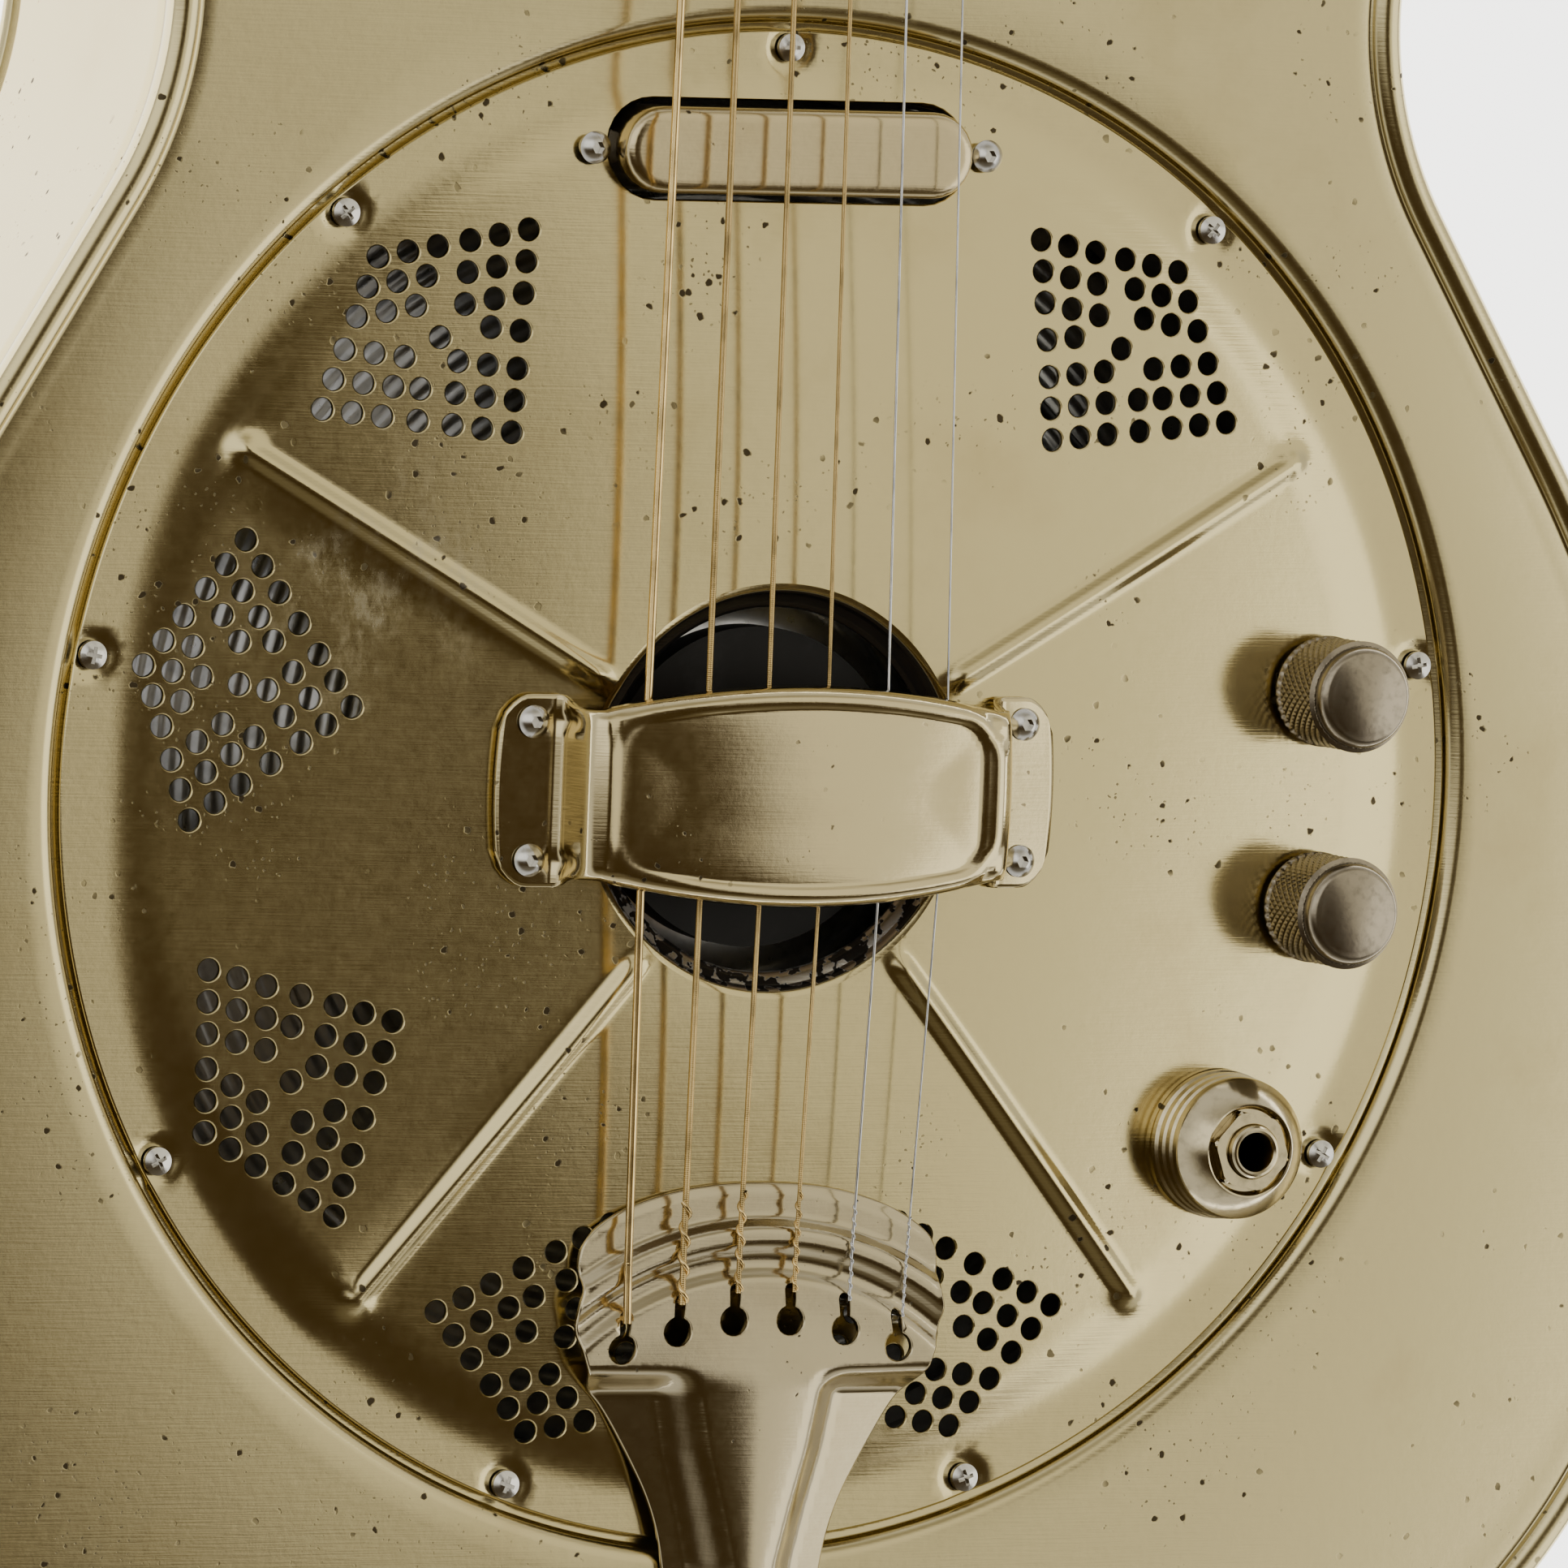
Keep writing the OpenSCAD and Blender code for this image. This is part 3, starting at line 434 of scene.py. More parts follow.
biscuit_black = lacquer("black_lacquer", (0.008, 0.007, 0.006), 0.34, dust=0.6)
biscuit_black.node_tree.nodes["Principled BSDF"].inputs["Specular IOR Level"].default_value = 0.2
well_steel = plain_metal("well_steel", (0.30, 0.29, 0.27), 0.45, 120, 0.05)
nickel = plain_metal("bright_nickel", (0.56, 0.54, 0.49), 0.2, 500, 0.05)
finish(biscuit_black, "biscuit")
finish(well_steel, "sound_well")
finish(nickel, "biscuit_screw")


def timber(name, dark, light, rings, roughness):
    """Straight-grained wood: stretched noise for the grain, finer noise for the pores."""
    material, shader, place = blank(name)
    drawn = stretched(place, (40, 3, 40))
    grain = noise(drawn, rings, 6.0, distortion=0.4)
    pores = noise(drawn, rings * 9)
    ramp((grain * 0.8 + pores * 0.2).clip(), (0.35, dark), (0.62, light)).into(shader, "Base Color")
    (pores * 0.25 + (roughness - 0.12)).into(shader, "Roughness")
    roughen(shader, pores, 0.15, 0.0004)
    return material


maple = timber("maple", (0.42, 0.27, 0.13), (0.66, 0.48, 0.27), 2.0, 0.45)
finish(maple, "saddle", "neck_stick")


# Cover plate: one disc of sheet pressed to a low dome with four ribs, six diamonds of punched holes, dimples
# for its screws and a rolled centre hole, whose lip is lacquered black and has chipped.
PLATE_R = 132.0
CENTRE_R = 36.2
HOLE_R = 1.95
HOLE_PITCH = 5.5
RIBS = np.radians([30, 150, 230, 310])
DIAMONDS = np.radians([50, 130, 170, 210, 250, 290])
SCREWS = np.radians(90 + np.arange(9) * 40)
SCREW_R = 129.0
PICKUP_Y, PICKUP_HALF, PICKUP_HALF_H = 111.0, 33.3, 7.5
CONTROLS = [(107, 18, 3.7), (106.4, -20.2, 3.7), (90.1, -62.3, 4.9)]


def smooth_step(value, low, high):
    """0 below low, 1 above high, and an S curve between."""
    t = np.clip((value - low) / (high - low), 0, 1)
    return t * t * (3 - 2 * t)


def plate_height(x, y):
    """Dome falling to a flat flange, plus ribs with round ends, minus the screw dimples."""
    r = np.hypot(x, y)
    angle = np.degrees(np.arctan2(y, x)) % 360
    facet = smooth_step(angle, 149, 155) * (1 - smooth_step(angle, 225, 233))
    fall = np.clip((r - 36) / 88, 0, 1)
    dome = 5.7 - 5.1 * fall ** 1.6
    dome = dome + (5.7 - 0.058 * np.maximum(-x - 24, 0) - dome) * facet
    height = np.maximum(dome, 0) * (1 - smooth_step(r, 115, 126))
    for rib in RIBS:
        along = x * np.cos(rib) + y * np.sin(rib)
        across = -x * np.sin(rib) + y * np.cos(rib)
        ridge = np.where(np.abs(across) < 2.8, 0.5 + 0.5 * np.cos(np.pi * across / 2.8), 0)
        ridge = ridge * smooth_step(along, 36, 41) * (1 - smooth_step(along, 115, 119))
        knob = np.exp(-((along - 116) ** 2 + across ** 2) / 5.5)
        height = height + 1.1 * np.maximum(ridge, knob)
    for place in SCREWS:
        gap = np.hypot(x - SCREW_R * np.cos(place), y - SCREW_R * np.sin(place))
        height = height - 0.45 * (1 - smooth_step(gap, 2.4, 5.2))
    return height


def diamond_holes():
    """Hole centres of one diamond whose axis is +X: 3 by 3 at each corner, two bridges and the middle."""
    corners = np.array([[80.5, 0], [105.5, 24.5], [119.2, 0], [105.5, -24.5]])
    spots = [np.array([101.5, 0.0])]
    for k in range(4):
        steps = [corners[(k + side) % 4] - corners[k] for side in (1, 3)]
        steps = [step / np.hypot(*step) * HOLE_PITCH for step in steps]
        spots += [corners[k] + i * steps[0] + j * steps[1] for i in range(3) for j in range(3)]
        if k in (1, 3):
            inward = corners[3 if k == 1 else 1] - corners[0]
            middle = (corners[0] + corners[k]) / 2
            spots += [middle, middle + inward / np.hypot(*inward) * HOLE_PITCH]
    return np.array(spots)


def ring_points(centre, radius, count):
    """Points round a circle."""
    angle = np.linspace(0, 2 * math.pi, count, endpoint=False)
    return np.stack([centre[0] + radius * np.cos(angle), centre[1] + radius * np.sin(angle)], 1)


def pill_points(centre, straight, radius, side_count=36, bow_count=14):
    """Points round a slot: two straight sides, straight long from the middle, and round ends."""
    bow = np.linspace(-math.pi / 2, math.pi / 2, bow_count)
    end = np.stack([straight + radius * np.cos(bow), radius * np.sin(bow)], 1)
    along = np.linspace(straight, -straight, side_count + 1)[1:-1]
    half = np.concatenate([end, np.stack([along, np.full(side_count - 1, radius)], 1)])
    return np.concatenate([half, -half]) + centre


def pressed_sheet(name, loops, spread, height, lift, thickness):
    """A pierced sheet: triangles of a flat plan between its loops, raised by height(x, y).

    Each loop is (points, rings): rings are (points, drop) from the plan's edge down to the lower face.
    lift turns plan points and a height into places in millimetres.
    """
    outer = loops[0][0]
    edge_points = np.concatenate([points for points, _ in loops])
    edges, start = [], 0
    for points, _ in loops:
        count = len(points)
        edges += [(start + i, start + (i + 1) % count) for i in range(count)]
        start += count
    plan = [mathutils.Vector(p) for p in np.concatenate([edge_points, spread])]
    flat, _, faces, _, _, _ = mathutils.geometry.delaunay_2d_cdt(plan, edges, [], 0, 1e-5)
    flat = np.array([tuple(p) for p in flat])
    faces = np.array([f for f in faces if len(f) == 3])
    middle = flat[faces].mean(1)
    keep = inside(middle, outer)
    for points, _ in loops[1:]:
        near = np.nonzero((np.abs(middle - points.mean(0)) <= np.ptp(points, 0) / 2 + 0.5).all(1) & keep)[0]
        keep[near[inside(middle[near], points)]] = False
    faces = faces[keep]
    a, b, c = flat[faces[:, 0]], flat[faces[:, 1]], flat[faces[:, 2]]
    clockwise = np.cross(b - a, c - a) < 0
    faces[clockwise] = faces[clockwise][:, ::-1]
    used, faces = np.unique(faces, return_inverse=True)
    faces = faces.reshape(-1, 3)
    flat = flat[used]
    level = height(flat[:, 0], flat[:, 1])
    count = len(flat)
    places = [lift(flat, level), lift(flat, level - thickness)]
    quads, crisp, total = [], [], 2 * count
    for points, rings in loops:
        gap = np.abs(flat[None, :, 0] - points[:, None, 0]) + np.abs(flat[None, :, 1] - points[:, None, 1])
        top = gap.argmin(1)
        rows = [top]
        for ring, drop in rings:
            places.append(lift(ring, height(points[:, 0], points[:, 1]) - drop))
            rows.append(total + np.arange(len(ring)))
            total += len(ring)
        rows.append(top + count)
        crisp += [rows[0], rows[-1]]
        twist = np.sum(np.cross(points - points.mean(0), np.roll(points, -1, 0) - points.mean(0))) > 0
        is_hole = points is not outer
        for upper, lower in zip(rows[:-1], rows[1:]):
            band = np.stack([upper, lower, np.roll(lower, -1), np.roll(upper, -1)], 1)
            quads.append(band[:, ::-1] if is_hole == twist else band)
    all_faces = faces.tolist() + (faces[:, ::-1] + count).tolist() + np.concatenate(quads).tolist()
    piece = put_mesh(name, np.concatenate(places) * MM, all_faces)
    ends = np.empty(len(piece.data.edges) * 2, int)
    piece.data.edges.foreach_get("vertices", ends)
    ends = np.sort(ends.reshape(-1, 2), 1)
    crisp = np.concatenate([np.sort(np.stack([ring, np.roll(ring, -1)], 1), 1) for ring in crisp])
    sharp = np.isin(ends[:, 0] * total + ends[:, 1], crisp[:, 0] * total + crisp[:, 1])
    piece.data.attributes.new("sharp_edge", "BOOLEAN", "EDGE").data.foreach_set("value", sharp)
    return piece


def inside(points, loop):
    """Even-odd test of points against a closed loop, one loop edge at a time."""
    result = np.zeros(len(points), bool)
    for (x0, y0), (x1, y1) in zip(loop, np.roll(loop, -1, 0)):
        if y0 == y1:
            continue
        crosses = (points[:, 1] >= min(y0, y1)) & (points[:, 1] < max(y0, y1))
        result ^= crosses & (points[:, 0] < x0 + (points[:, 1] - y0) * (x1 - x0) / (y1 - y0))
    return result


def seated(points, level):
    """Plan points and heights above the flange, as places."""
    return np.concatenate([points, (level + SEAT)[:, None]], 1)


def round_hole(centre, radius, count, ease=0.28, wall=1.0):
    """A punched hole with a small eased edge."""
    inner = ring_points(centre, radius, count)
    return ring_points(centre, radius + ease, count), [(inner, 0.2), (inner, wall)]


PLATE_T = 1.0
RIM_COUNT, LIP_COUNT = 420, 180
MIDDLE = (0, 0)
# the rim and the lip of the centre hole, as (radius, drop) pairs from the plan's edge down
rim_profile = [(PLATE_R - 0.08, 0.12), (PLATE_R, 0.45), (PLATE_R, PLATE_T)]
lip = [(35.4, 0.12), (34.8, 0.5), (34.45, 1.1), (34.0, 2.2), (33.2, 3.3), (32.3, 3.9),
       (31.8, 3.75), (31.9, 3.2), (33.0, 2.4)]
loops = []
for first, profile, count in ((PLATE_R - 0.4, rim_profile, RIM_COUNT), (CENTRE_R, lip, LIP_COUNT)):
    lower = [(ring_points(MIDDLE, radius, count), drop) for radius, drop in profile]
    loops.append((ring_points(MIDDLE, first, count), lower))
slot_at = np.array([0, PICKUP_Y])
PILL = PICKUP_HALF - PICKUP_HALF_H
slot_edge = pill_points(slot_at, PILL, PICKUP_HALF_H + 1.15)
loops.append((pill_points(slot_at, PILL, PICKUP_HALF_H + 1.5), [(slot_edge, 0.2), (slot_edge, PLATE_T)]))
plan_holes = [(x, y, radius) for x, y, radius in CONTROLS] + [(s * 37.5, PICKUP_Y, 1.7) for s in (-1, 1)]
plan_holes += [(s * 47, t * 12, 1.7) for s in (-1, 1) for t in (-1, 1)]
plan_holes += [(SCREW_R * math.cos(a), SCREW_R * math.sin(a), 1.55) for a in SCREWS]
kite = diamond_holes()
for a in DIAMONDS:
    turned_kite = kite @ np.array([[math.cos(a), math.sin(a)], [-math.sin(a), math.cos(a)]])
    plan_holes += [(x, y, HOLE_R) for x, y in turned_kite]
for x, y, radius in plan_holes:
    loops.append(round_hole((x, y), radius, 20))
rings = np.concatenate([np.arange(37.0, 40, 0.8), np.arange(40.5, 117, 2.4), np.arange(117, 127, 0.8),
                        np.arange(127.5, 131.2, 0.9)])
spread = [ring_points((0, 0), radius, int(2 * math.pi * radius / 2.4)) for radius in rings]
spread = np.concatenate(spread)
for a in RIBS:
    along, across = spread @ [math.cos(a), math.sin(a)], spread @ [-math.sin(a), math.cos(a)]
    spread = spread[~((along > 35) & (np.abs(across) < 4.6) & (along < 122))]
    u, v = np.meshgrid(np.arange(37.5, 122, 0.8), np.arange(-4.2, 4.3, 0.6))
    u, v = u.ravel(), v.ravel()
    on_rib = [u * math.cos(a) - v * math.sin(a), u * math.sin(a) + v * math.cos(a)]
    spread = np.concatenate([spread, np.stack(on_rib, 1)])
for a in SCREWS:
    centre = SCREW_R * np.array([math.cos(a), math.sin(a)])
    spread = spread[np.hypot(*(spread - centre).T) > 5.6]
    halo = np.concatenate([ring_points(centre, radius, 20) for radius in (2.4, 3.0, 3.7, 4.4, 5.2)])
    spread = np.concatenate([spread, halo[np.hypot(*halo.T) < PLATE_R - 0.7]])
for x, y, radius in plan_holes:
    spread = spread[np.hypot(spread[:, 0] - x, spread[:, 1] - y) > radius + 0.62]
spread = spread[np.hypot(*spread.T) < PLATE_R - 0.8]
pill_gap = np.hypot(np.maximum(np.abs(spread[:, 0]) - PILL, 0), spread[:, 1] - PICKUP_Y)
spread = spread[pill_gap > PICKUP_HALF_H + 2.1]
plate_metal = satin_metal("worn_plate_nickel", (0.55, 0.463, 0.24), 0.165, pits=1.1)


def blacken_lip(material):
    """Black lacquer in the centre hole, flaked to steel on the tail side; scuffs near the bass ribs."""
    tree = material.node_tree
    shader = tree.nodes["Principled BSDF"]
    place = node(tree, "ShaderNodeTexCoord", {}, {}, "Object")

    def measure(operation, *vectors):
        """A number from one or two vectors."""
        return node(tree, "ShaderNodeVectorMath", {"operation": operation}, vectors, "Value")

    flat_place = node(tree, "ShaderNodeVectorMath", {"operation": "MULTIPLY"}, [place, (1, 1, 0)])
    radius = measure("LENGTH", flat_place)
    tailwards = measure("DOT_PRODUCT", place, (0.2, -1, 0))
    bare = noise(place, 420.0, 3.0).over(0.50, 0.53) * tailwards.over(0.006, 0.026)
    inside_lip = (0.0352 - radius).over(0.0, 0.0003)
    reach = measure("DISTANCE", flat_place, (-0.078, 0.034, 0))
    rub = noise(stretched(place, (300, 170, 200), 0.6), 1.0, 6.0, 0.75)
    patch = noise(place, 70.0, 4.0)
    scuff = (0.034 - reach).over(0.0, 0.03) * patch.over(0.42, 0.62) * rub.over(0.38, 0.7) * 0.5
    finishes = (("Base Color", (0.42, 0.39, 0.33, 1), (0.72, 0.70, 0.66, 1), (0.01, 0.009, 0.008, 1), "RGBA"),
                ("Roughness", 0.5, 0.25, 0.14, "FLOAT"))
    for name, scuffed, steel, paint, kind in finishes:
        under = mix(scuff, Link(tree, shader.inputs[name].links[0].from_socket), scuffed, kind)
        painted = mix(bare, paint, steel, kind)
        mix(inside_lip, under, painted, kind).into(shader, name)
    (1 - inside_lip * (1 - bare)).into(shader, "Metallic")


blacken_lip(plate_metal)
plate = pressed_sheet("domed_plate", loops, spread, plate_height, seated, PLATE_T)
plate.data.materials.append(plate_metal)
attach(plate, "root")
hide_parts("cover_plate")
finish(nickel, "cover_plate_screws", "hand_rest_screws")
finish(nickel, "pickup_screws", "pickup_springs", "pickup_base_plate")


# Hand rest: a strip of plated steel bent up from two feet, which are screwed to the plate on either side
# of the saddle. Its top is dished inside a rolled rim, and small gussets are pressed into the bends.
rest_metal = satin_metal("rest_nickel", (0.56, 0.47, 0.265), 0.13, pits=0.8)
REST_T = 1.2
REST_BEND = 1.8
SHOULDER_R = 4.0
bend = np.linspace(0, math.pi / 2, 8)
foot_x = np.array([53.4, 52.6, 51.4, 50, 48.6, 47.2, 46, 45, 44.2, 43.6])
foot_z = 7.0 - 0.08 * (foot_x - foot_x[-1])
top_x = np.linspace(36, 0, 37)
arch = 18.1 + 2.5 * (1 - (top_x / 37) ** 2)
path_x = [foot_x, 43.3 - REST_BEND * np.sin(bend), [41.4, 41.2, 41.05], 37 + SHOULDER_R * np.cos(bend), top_x]
path_z = [foot_z, 8.8 - REST_BEND * np.cos(bend), [11, 12.6, 13.6], 14.4 + SHOULDER_R * np.sin(bend), arch]
path_x, path_z = np.concatenate(path_x), np.concatenate(path_z)
path_x = np.concatenate([path_x, -path_x[-2::-1]])
path_z = np.concatenate([path_z, path_z[-2::-1]])
run_x, run_z = np.gradient(path_x), np.gradient(path_z)
run = np.hypot(run_x, run_z)
out_x, out_z = (run_z / run)[:, None], (-run_x / run)[:, None]
far = np.abs(path_x)
on_top = smooth_step(path_z, 12.5, 17)
half_width = 14.8 + 4.5 * (1 - np.clip(far / 38, 0, 1) ** 2) * on_top
corner = 10.7 + np.sqrt(np.clip(36 - np.clip(far - 47.4, 0, 6) ** 2, 0, 36))
flared = (np.minimum(corner, 16.7) - half_width) * (1 - smooth_step(path_z, 7.2, 10))
half_width = half_width + np.where(path_z < 12, flared, 0)
across = np.concatenate([np.linspace(-1, -0.72, 18), np.linspace(-0.7, 0.7, 29), np.linspace(0.72, 1, 18)])
width = half_width[:, None]
y = width * across
inset = width - np.abs(y)
ex = np.abs(path_x)[:, None] - 34.5 + 5
ey = np.abs(y) - (width - 3.9) + 5
edge = np.hypot(np.maximum(ex, 0), np.maximum(ey, 0)) + np.minimum(np.maximum(ex, ey), 0) - 5
crease = smooth_step(path_x, -34, -18)[:, None]
raised = 0.75 * np.sin(np.pi * np.clip(edge / 3.9, 0, 1)) ** 0.7 * (0.25 + 0.75 * crease)
dished = -0.35 * smooth_step(-edge, 0, 12) - 0.8 * (y / 16) ** 2
turned_down = 2.3 * (1 - np.sqrt(np.clip(1 - (1 - np.clip(inset / 2.6, 0, 1)) ** 2, 0, 1)))
in_bend = np.exp(-((path_z[:, None] - 10) / 2.6) ** 2) * (far[:, None] < 44)
gusset = np.exp(-((np.abs(y) - 12.2) / 1.5) ** 2) * in_bend
offset = (raised + dished) * on_top[:, None] - 0.9 * gusset
bow = np.where(path_z < 8, 1.0, 0)[:, None] * np.sign(path_x)[:, None] * y ** 2 / 210
rest_x = path_x[:, None] + out_x * offset - bow * smooth_step(far, 46, 53)[:, None]
eased = turned_down * on_top[:, None] + 0.25 * (inset < 0.3) * (1 - on_top[:, None])
rest_z = SEAT + path_z[:, None] + out_z * offset - eased
hand_rest = grid("palm_bridge", rest_x, y, rest_z, flip=True)
hand_rest.data.materials.append(rest_metal)
solidify(hand_rest, REST_T)
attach(hand_rest, "root")
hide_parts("hand_rest")


# Tailpiece: one steel stamping. Its curved head has a folded lip, two pressed ridges and six keyholes for the
# strings' ball ends; its stem is pressed into a hollow ridge and turns down over the edge to the end pin.
rose_nickel = satin_metal("tailpiece_nickel", (0.455, 0.39, 0.25), 0.15, patina=0.25, pits=0.6)
TAIL_T = 1.3
LIP_C = np.array([0, -137.0])
KEYHOLES = [(26.5, -97), (16.1, -94), (5.4, -92.2)]
KEYHOLE_R, SLOT_R, SLOT_END = 2.5, 0.9, 6.4
HANGER_Y, BEND_R = -197.7, 5.0
STEM_TOP, PIN_Z = 9.6, 22.0


def rounded(corners, passes=3):
    """A closed outline, its corners cut to curves: each pass keeps a quarter point either side of each."""
    for _ in range(passes):
        ahead = np.roll(corners, -1, 0)
        corners = np.stack([corners * 0.75 + ahead * 0.25, corners * 0.25 + ahead * 0.75], 1).reshape(-1, 2)
    return corners


def shrunk(loop, amount):
    """A counter-clockwise outline moved inwards along its vertex normals."""
    run = np.roll(loop, -1, 0) - np.roll(loop, 1, 0)
    normal = np.stack([run[:, 1], -run[:, 0]], 1) / np.hypot(*run.T)[:, None]
    return loop - normal * amount


def tail_height(x, y):
    """Head: steps and ridges by distance from one centre. Stem: a sloping ridge between two low flanks."""
    away = np.hypot(x, y - LIP_C[1])
    head = 6.4 + 2.6 * smooth_step(-away, -63.2, -60.6) - 1.7 * smooth_step(-away, -58.8, -55.6)
    head = head + 1.5 * smooth_step(-away, -54.6, -51.8) + 0.9 * smooth_step(-away, -48, -30)
    head = head - 0.5 * smooth_step(away, 67.2, 68.6)
    stations = [-200, -160, -135, -125, -115, -105, -98]
    ridge_w = np.interp(y, stations, [8.2, 8.8, 10.2, 12.7, 15.5, 17.5, 18.5])
    side = np.clip((ridge_w - np.abs(x + 0.6)) / 6.8, 0, 1)
    crown = 1 - np.clip(np.abs(x + 0.6) / ridge_w, 0, 1) ** 1.6
    flank = 4.3 - 0.09 * np.clip(np.abs(x + 0.6) - ridge_w, 0, 14)
    stem = flank + 4.0 * (0.35 * side + 0.65 * side * side * (3 - 2 * side)) + 1.3 * crown
    return head + (stem - head) * smooth_step(-y, 100.0, 105.6)


def hung(points, level):
    """Carry the flat strip round its bend and down: places on a quarter circle, then straight."""
    past = np.maximum(HANGER_Y + BEND_R - points[:, 1], 0)
    angle = np.minimum(past / BEND_R, math.pi / 2)
    drop = past - angle * BEND_R
    radius = BEND_R + level - STEM_TOP
    bent = past > 0
    y = np.where(bent, HANGER_Y + BEND_R - radius * np.sin(angle), points[:, 1])
    z = np.where(bent, STEM_TOP - BEND_R + radius * np.cos(angle) - drop, level)
    return np.stack([points[:, 0], y, z + SEAT], 1)


def keyhole_loop(x, y, grow=0.0):
    """A round bulb with a slot towards the strings."""
    gap = math.asin(SLOT_R / KEYHOLE_R)
    bulb = np.linspace(math.pi / 2 + gap, 2.5 * math.pi - gap, 18)
    tip = np.linspace(0, math.pi, 7)
    points = np.concatenate([
        np.stack([np.cos(bulb), np.sin(bulb)], 1) * (KEYHOLE_R + grow),
        np.stack([np.cos(tip), np.sin(tip)], 1) * (SLOT_R + grow) + [0, SLOT_END - SLOT_R]])
    lean = np.array([-0.018 * x, 0]) * np.clip(points[:, 1:] / 4, 0, 2)
    return points + lean + [x, y]


strip_end = HANGER_Y + BEND_R - BEND_R * math.pi / 2 - 55
half_plan = np.array([(0, -68), (14, -69), (26, -72.5), (33.4, -77.5), (34.6, -82), (34.0, -86), (35.6, -91),
                      (33.4, -99), (31.2, -104.2), (28, -107), (22.5, -116), (17.7, -125), (15, -135),
                      (12.5, -160), (12, -190), (12, -225), (12, strip_end)])
plan = np.concatenate([half_plan[::-1] * [-1, 1], half_plan[1:]])[::-1]
plan = rounded(plan)
step = np.hypot(*(np.roll(plan, -1, 0) - plan).T)
travel = np.concatenate([[0], np.cumsum(step)])
even = np.linspace(0, travel[-1], 520, endpoint=False)
closed = np.concatenate([plan, plan[:1]])
plan = np.stack([np.interp(even, travel, closed[:, axis]) for axis in (0, 1)], 1)
if np.sum(np.cross(plan, np.roll(plan, -1, 0))) < 0:
    plan = plan[::-1]
edge = shrunk(plan, 0.35)
loops = [(edge, [(shrunk(plan, 0.08), 0.14), (plan, 0.45), (plan, 0.95), (shrunk(plan, 0.2), TAIL_T)])]
holes = [(side * x, y) for side in (-1, 1) for x, y in KEYHOLES]
for x, y in holes:
    inner = keyhole_loop(x, y)
    loops.append((keyhole_loop(x, y, 0.3), [(inner, 0.22), (inner, TAIL_T)]))
pin_at = (0, HANGER_Y + BEND_R - BEND_R * math.pi / 2 - (STEM_TOP - BEND_R + SEAT - PIN_Z))
loops.append(round_hole(pin_at, 3.9, 24, 0.2, TAIL_T))
arc_r, arc_a = np.meshgrid(np.arange(68.2, 36, -0.6), np.radians(np.arange(40, 140.1, 0.9)))
head_points = np.stack([arc_r * np.cos(arc_a), arc_r * np.sin(arc_a)], -1).reshape(-1, 2) + LIP_C
head_points = head_points[head_points[:, 1] > -99.6]
u, v = np.meshgrid(np.arange(-36, 36.1, 0.9), np.arange(-100.2, -140, -0.7))
w, t = np.meshgrid(np.arange(-13.6, 13.7, 1.0), np.arange(-140.4, strip_end + 0.5, -1.6))
root_points, stem_points = np.stack([u.ravel(), v.ravel()], 1), np.stack([w.ravel(), t.ravel()], 1)
spread = np.concatenate([head_points, root_points, stem_points])
spread = spread[inside(spread, shrunk(plan, 0.9))]
for points, _ in loops[1:]:
    reach = np.hypot(spread[:, None, 0] - points[None, :, 0], spread[:, None, 1] - points[None, :, 1]).min(1)
    spread = spread[(reach > 0.35) & ~inside(spread, points)]
tail = pressed_sheet("pressed_tailpiece", loops, spread, tail_height, hung, TAIL_T)
tail.data.materials.append(rose_nickel)
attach(tail, "root")
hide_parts("tailpiece")
finish(nickel, "end_pin")


# Pickup: a slim cover drawn from thin plated brass, with rounded edges, held over its coil and bar magnet.
# Two sprung screws through the plate set its height under the strings.
pickup_nickel = satin_metal("pickup_nickel", (0.52, 0.43, 0.25), 0.17, patina=0.3, pits=0.8, scale=1.6)
# (inset, height) pairs from the skirt up over the rounded edge to the flat top
skirt = np.array([(0.0, -4.0), (0.0, 6.2), (0.12, 6.9), (0.45, 7.45), (0.95, 7.8), (1.6, 7.97),
                  (2.6, 8.0), (5.2, 8.0), (7.5, 8.0)])
pickup_at = np.array([-0.5, PICKUP_Y])
rings = np.array([pill_points(pickup_at, PILL, PICKUP_HALF_H - inset) for inset in skirt[:, 0]])
cover_z = skirt[:, 1:] + SEAT
cover = grid("pickup_shell", rings[:, :, 0], rings[:, :, 1], cover_z, loop_columns=True, flip=True)
cover.data.materials.append(pickup_nickel)
solidify(cover, 0.6)
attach(cover, "root")
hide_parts("pickup_cover")
finish(lacquer("coil_wire", (0.30, 0.10, 0.03), 0.3, 0.6, scale=900), "pickup_coil")
finish(plain_metal("magnet", (0.20, 0.20, 0.21), 0.5, 300, 0.2), "pickup_magnet")


# Knobs: turned from bar, the grip diamond-knurled and the domed cap polished. Each is pushed on to the split
# shaft of its control and turns with it.
KNOB_R, KNOB_BASE, KNURLS, KNURL_PITCH = 10.0, 4.0, 38, 2.1
knob_metal = plain_metal("knob_nickel", (0.28, 0.24, 0.175), 0.24, 700, 0.04)
grip_angle = np.linspace(0, 2 * math.pi, KNURLS * 8, endpoint=False)[:, None]
grip_z = np.linspace(0.6, 13.6, 60)[None]


def zigzag(phase):
    """A triangle wave of angle: 1 at 0, down to 0 at a half turn, and up again."""
    return np.abs((phase / math.pi) % 2 - 1)


def knurled_radius(angle, z):
    """Two families of crossing V grooves; each point lies as deep as the deeper groove."""
    across, up = angle * KNURLS, z * 2 * math.pi / KNURL_PITCH
    crest = np.minimum(zigzag(across + up), zigzag(across - up))
    fade = smooth_step(z, 0.6, 1.4) * (1 - smooth_step(z, 13.1, 13.6))
    return KNOB_R - 0.15 - 0.75 * fade * (1 - crest) ** 0.9


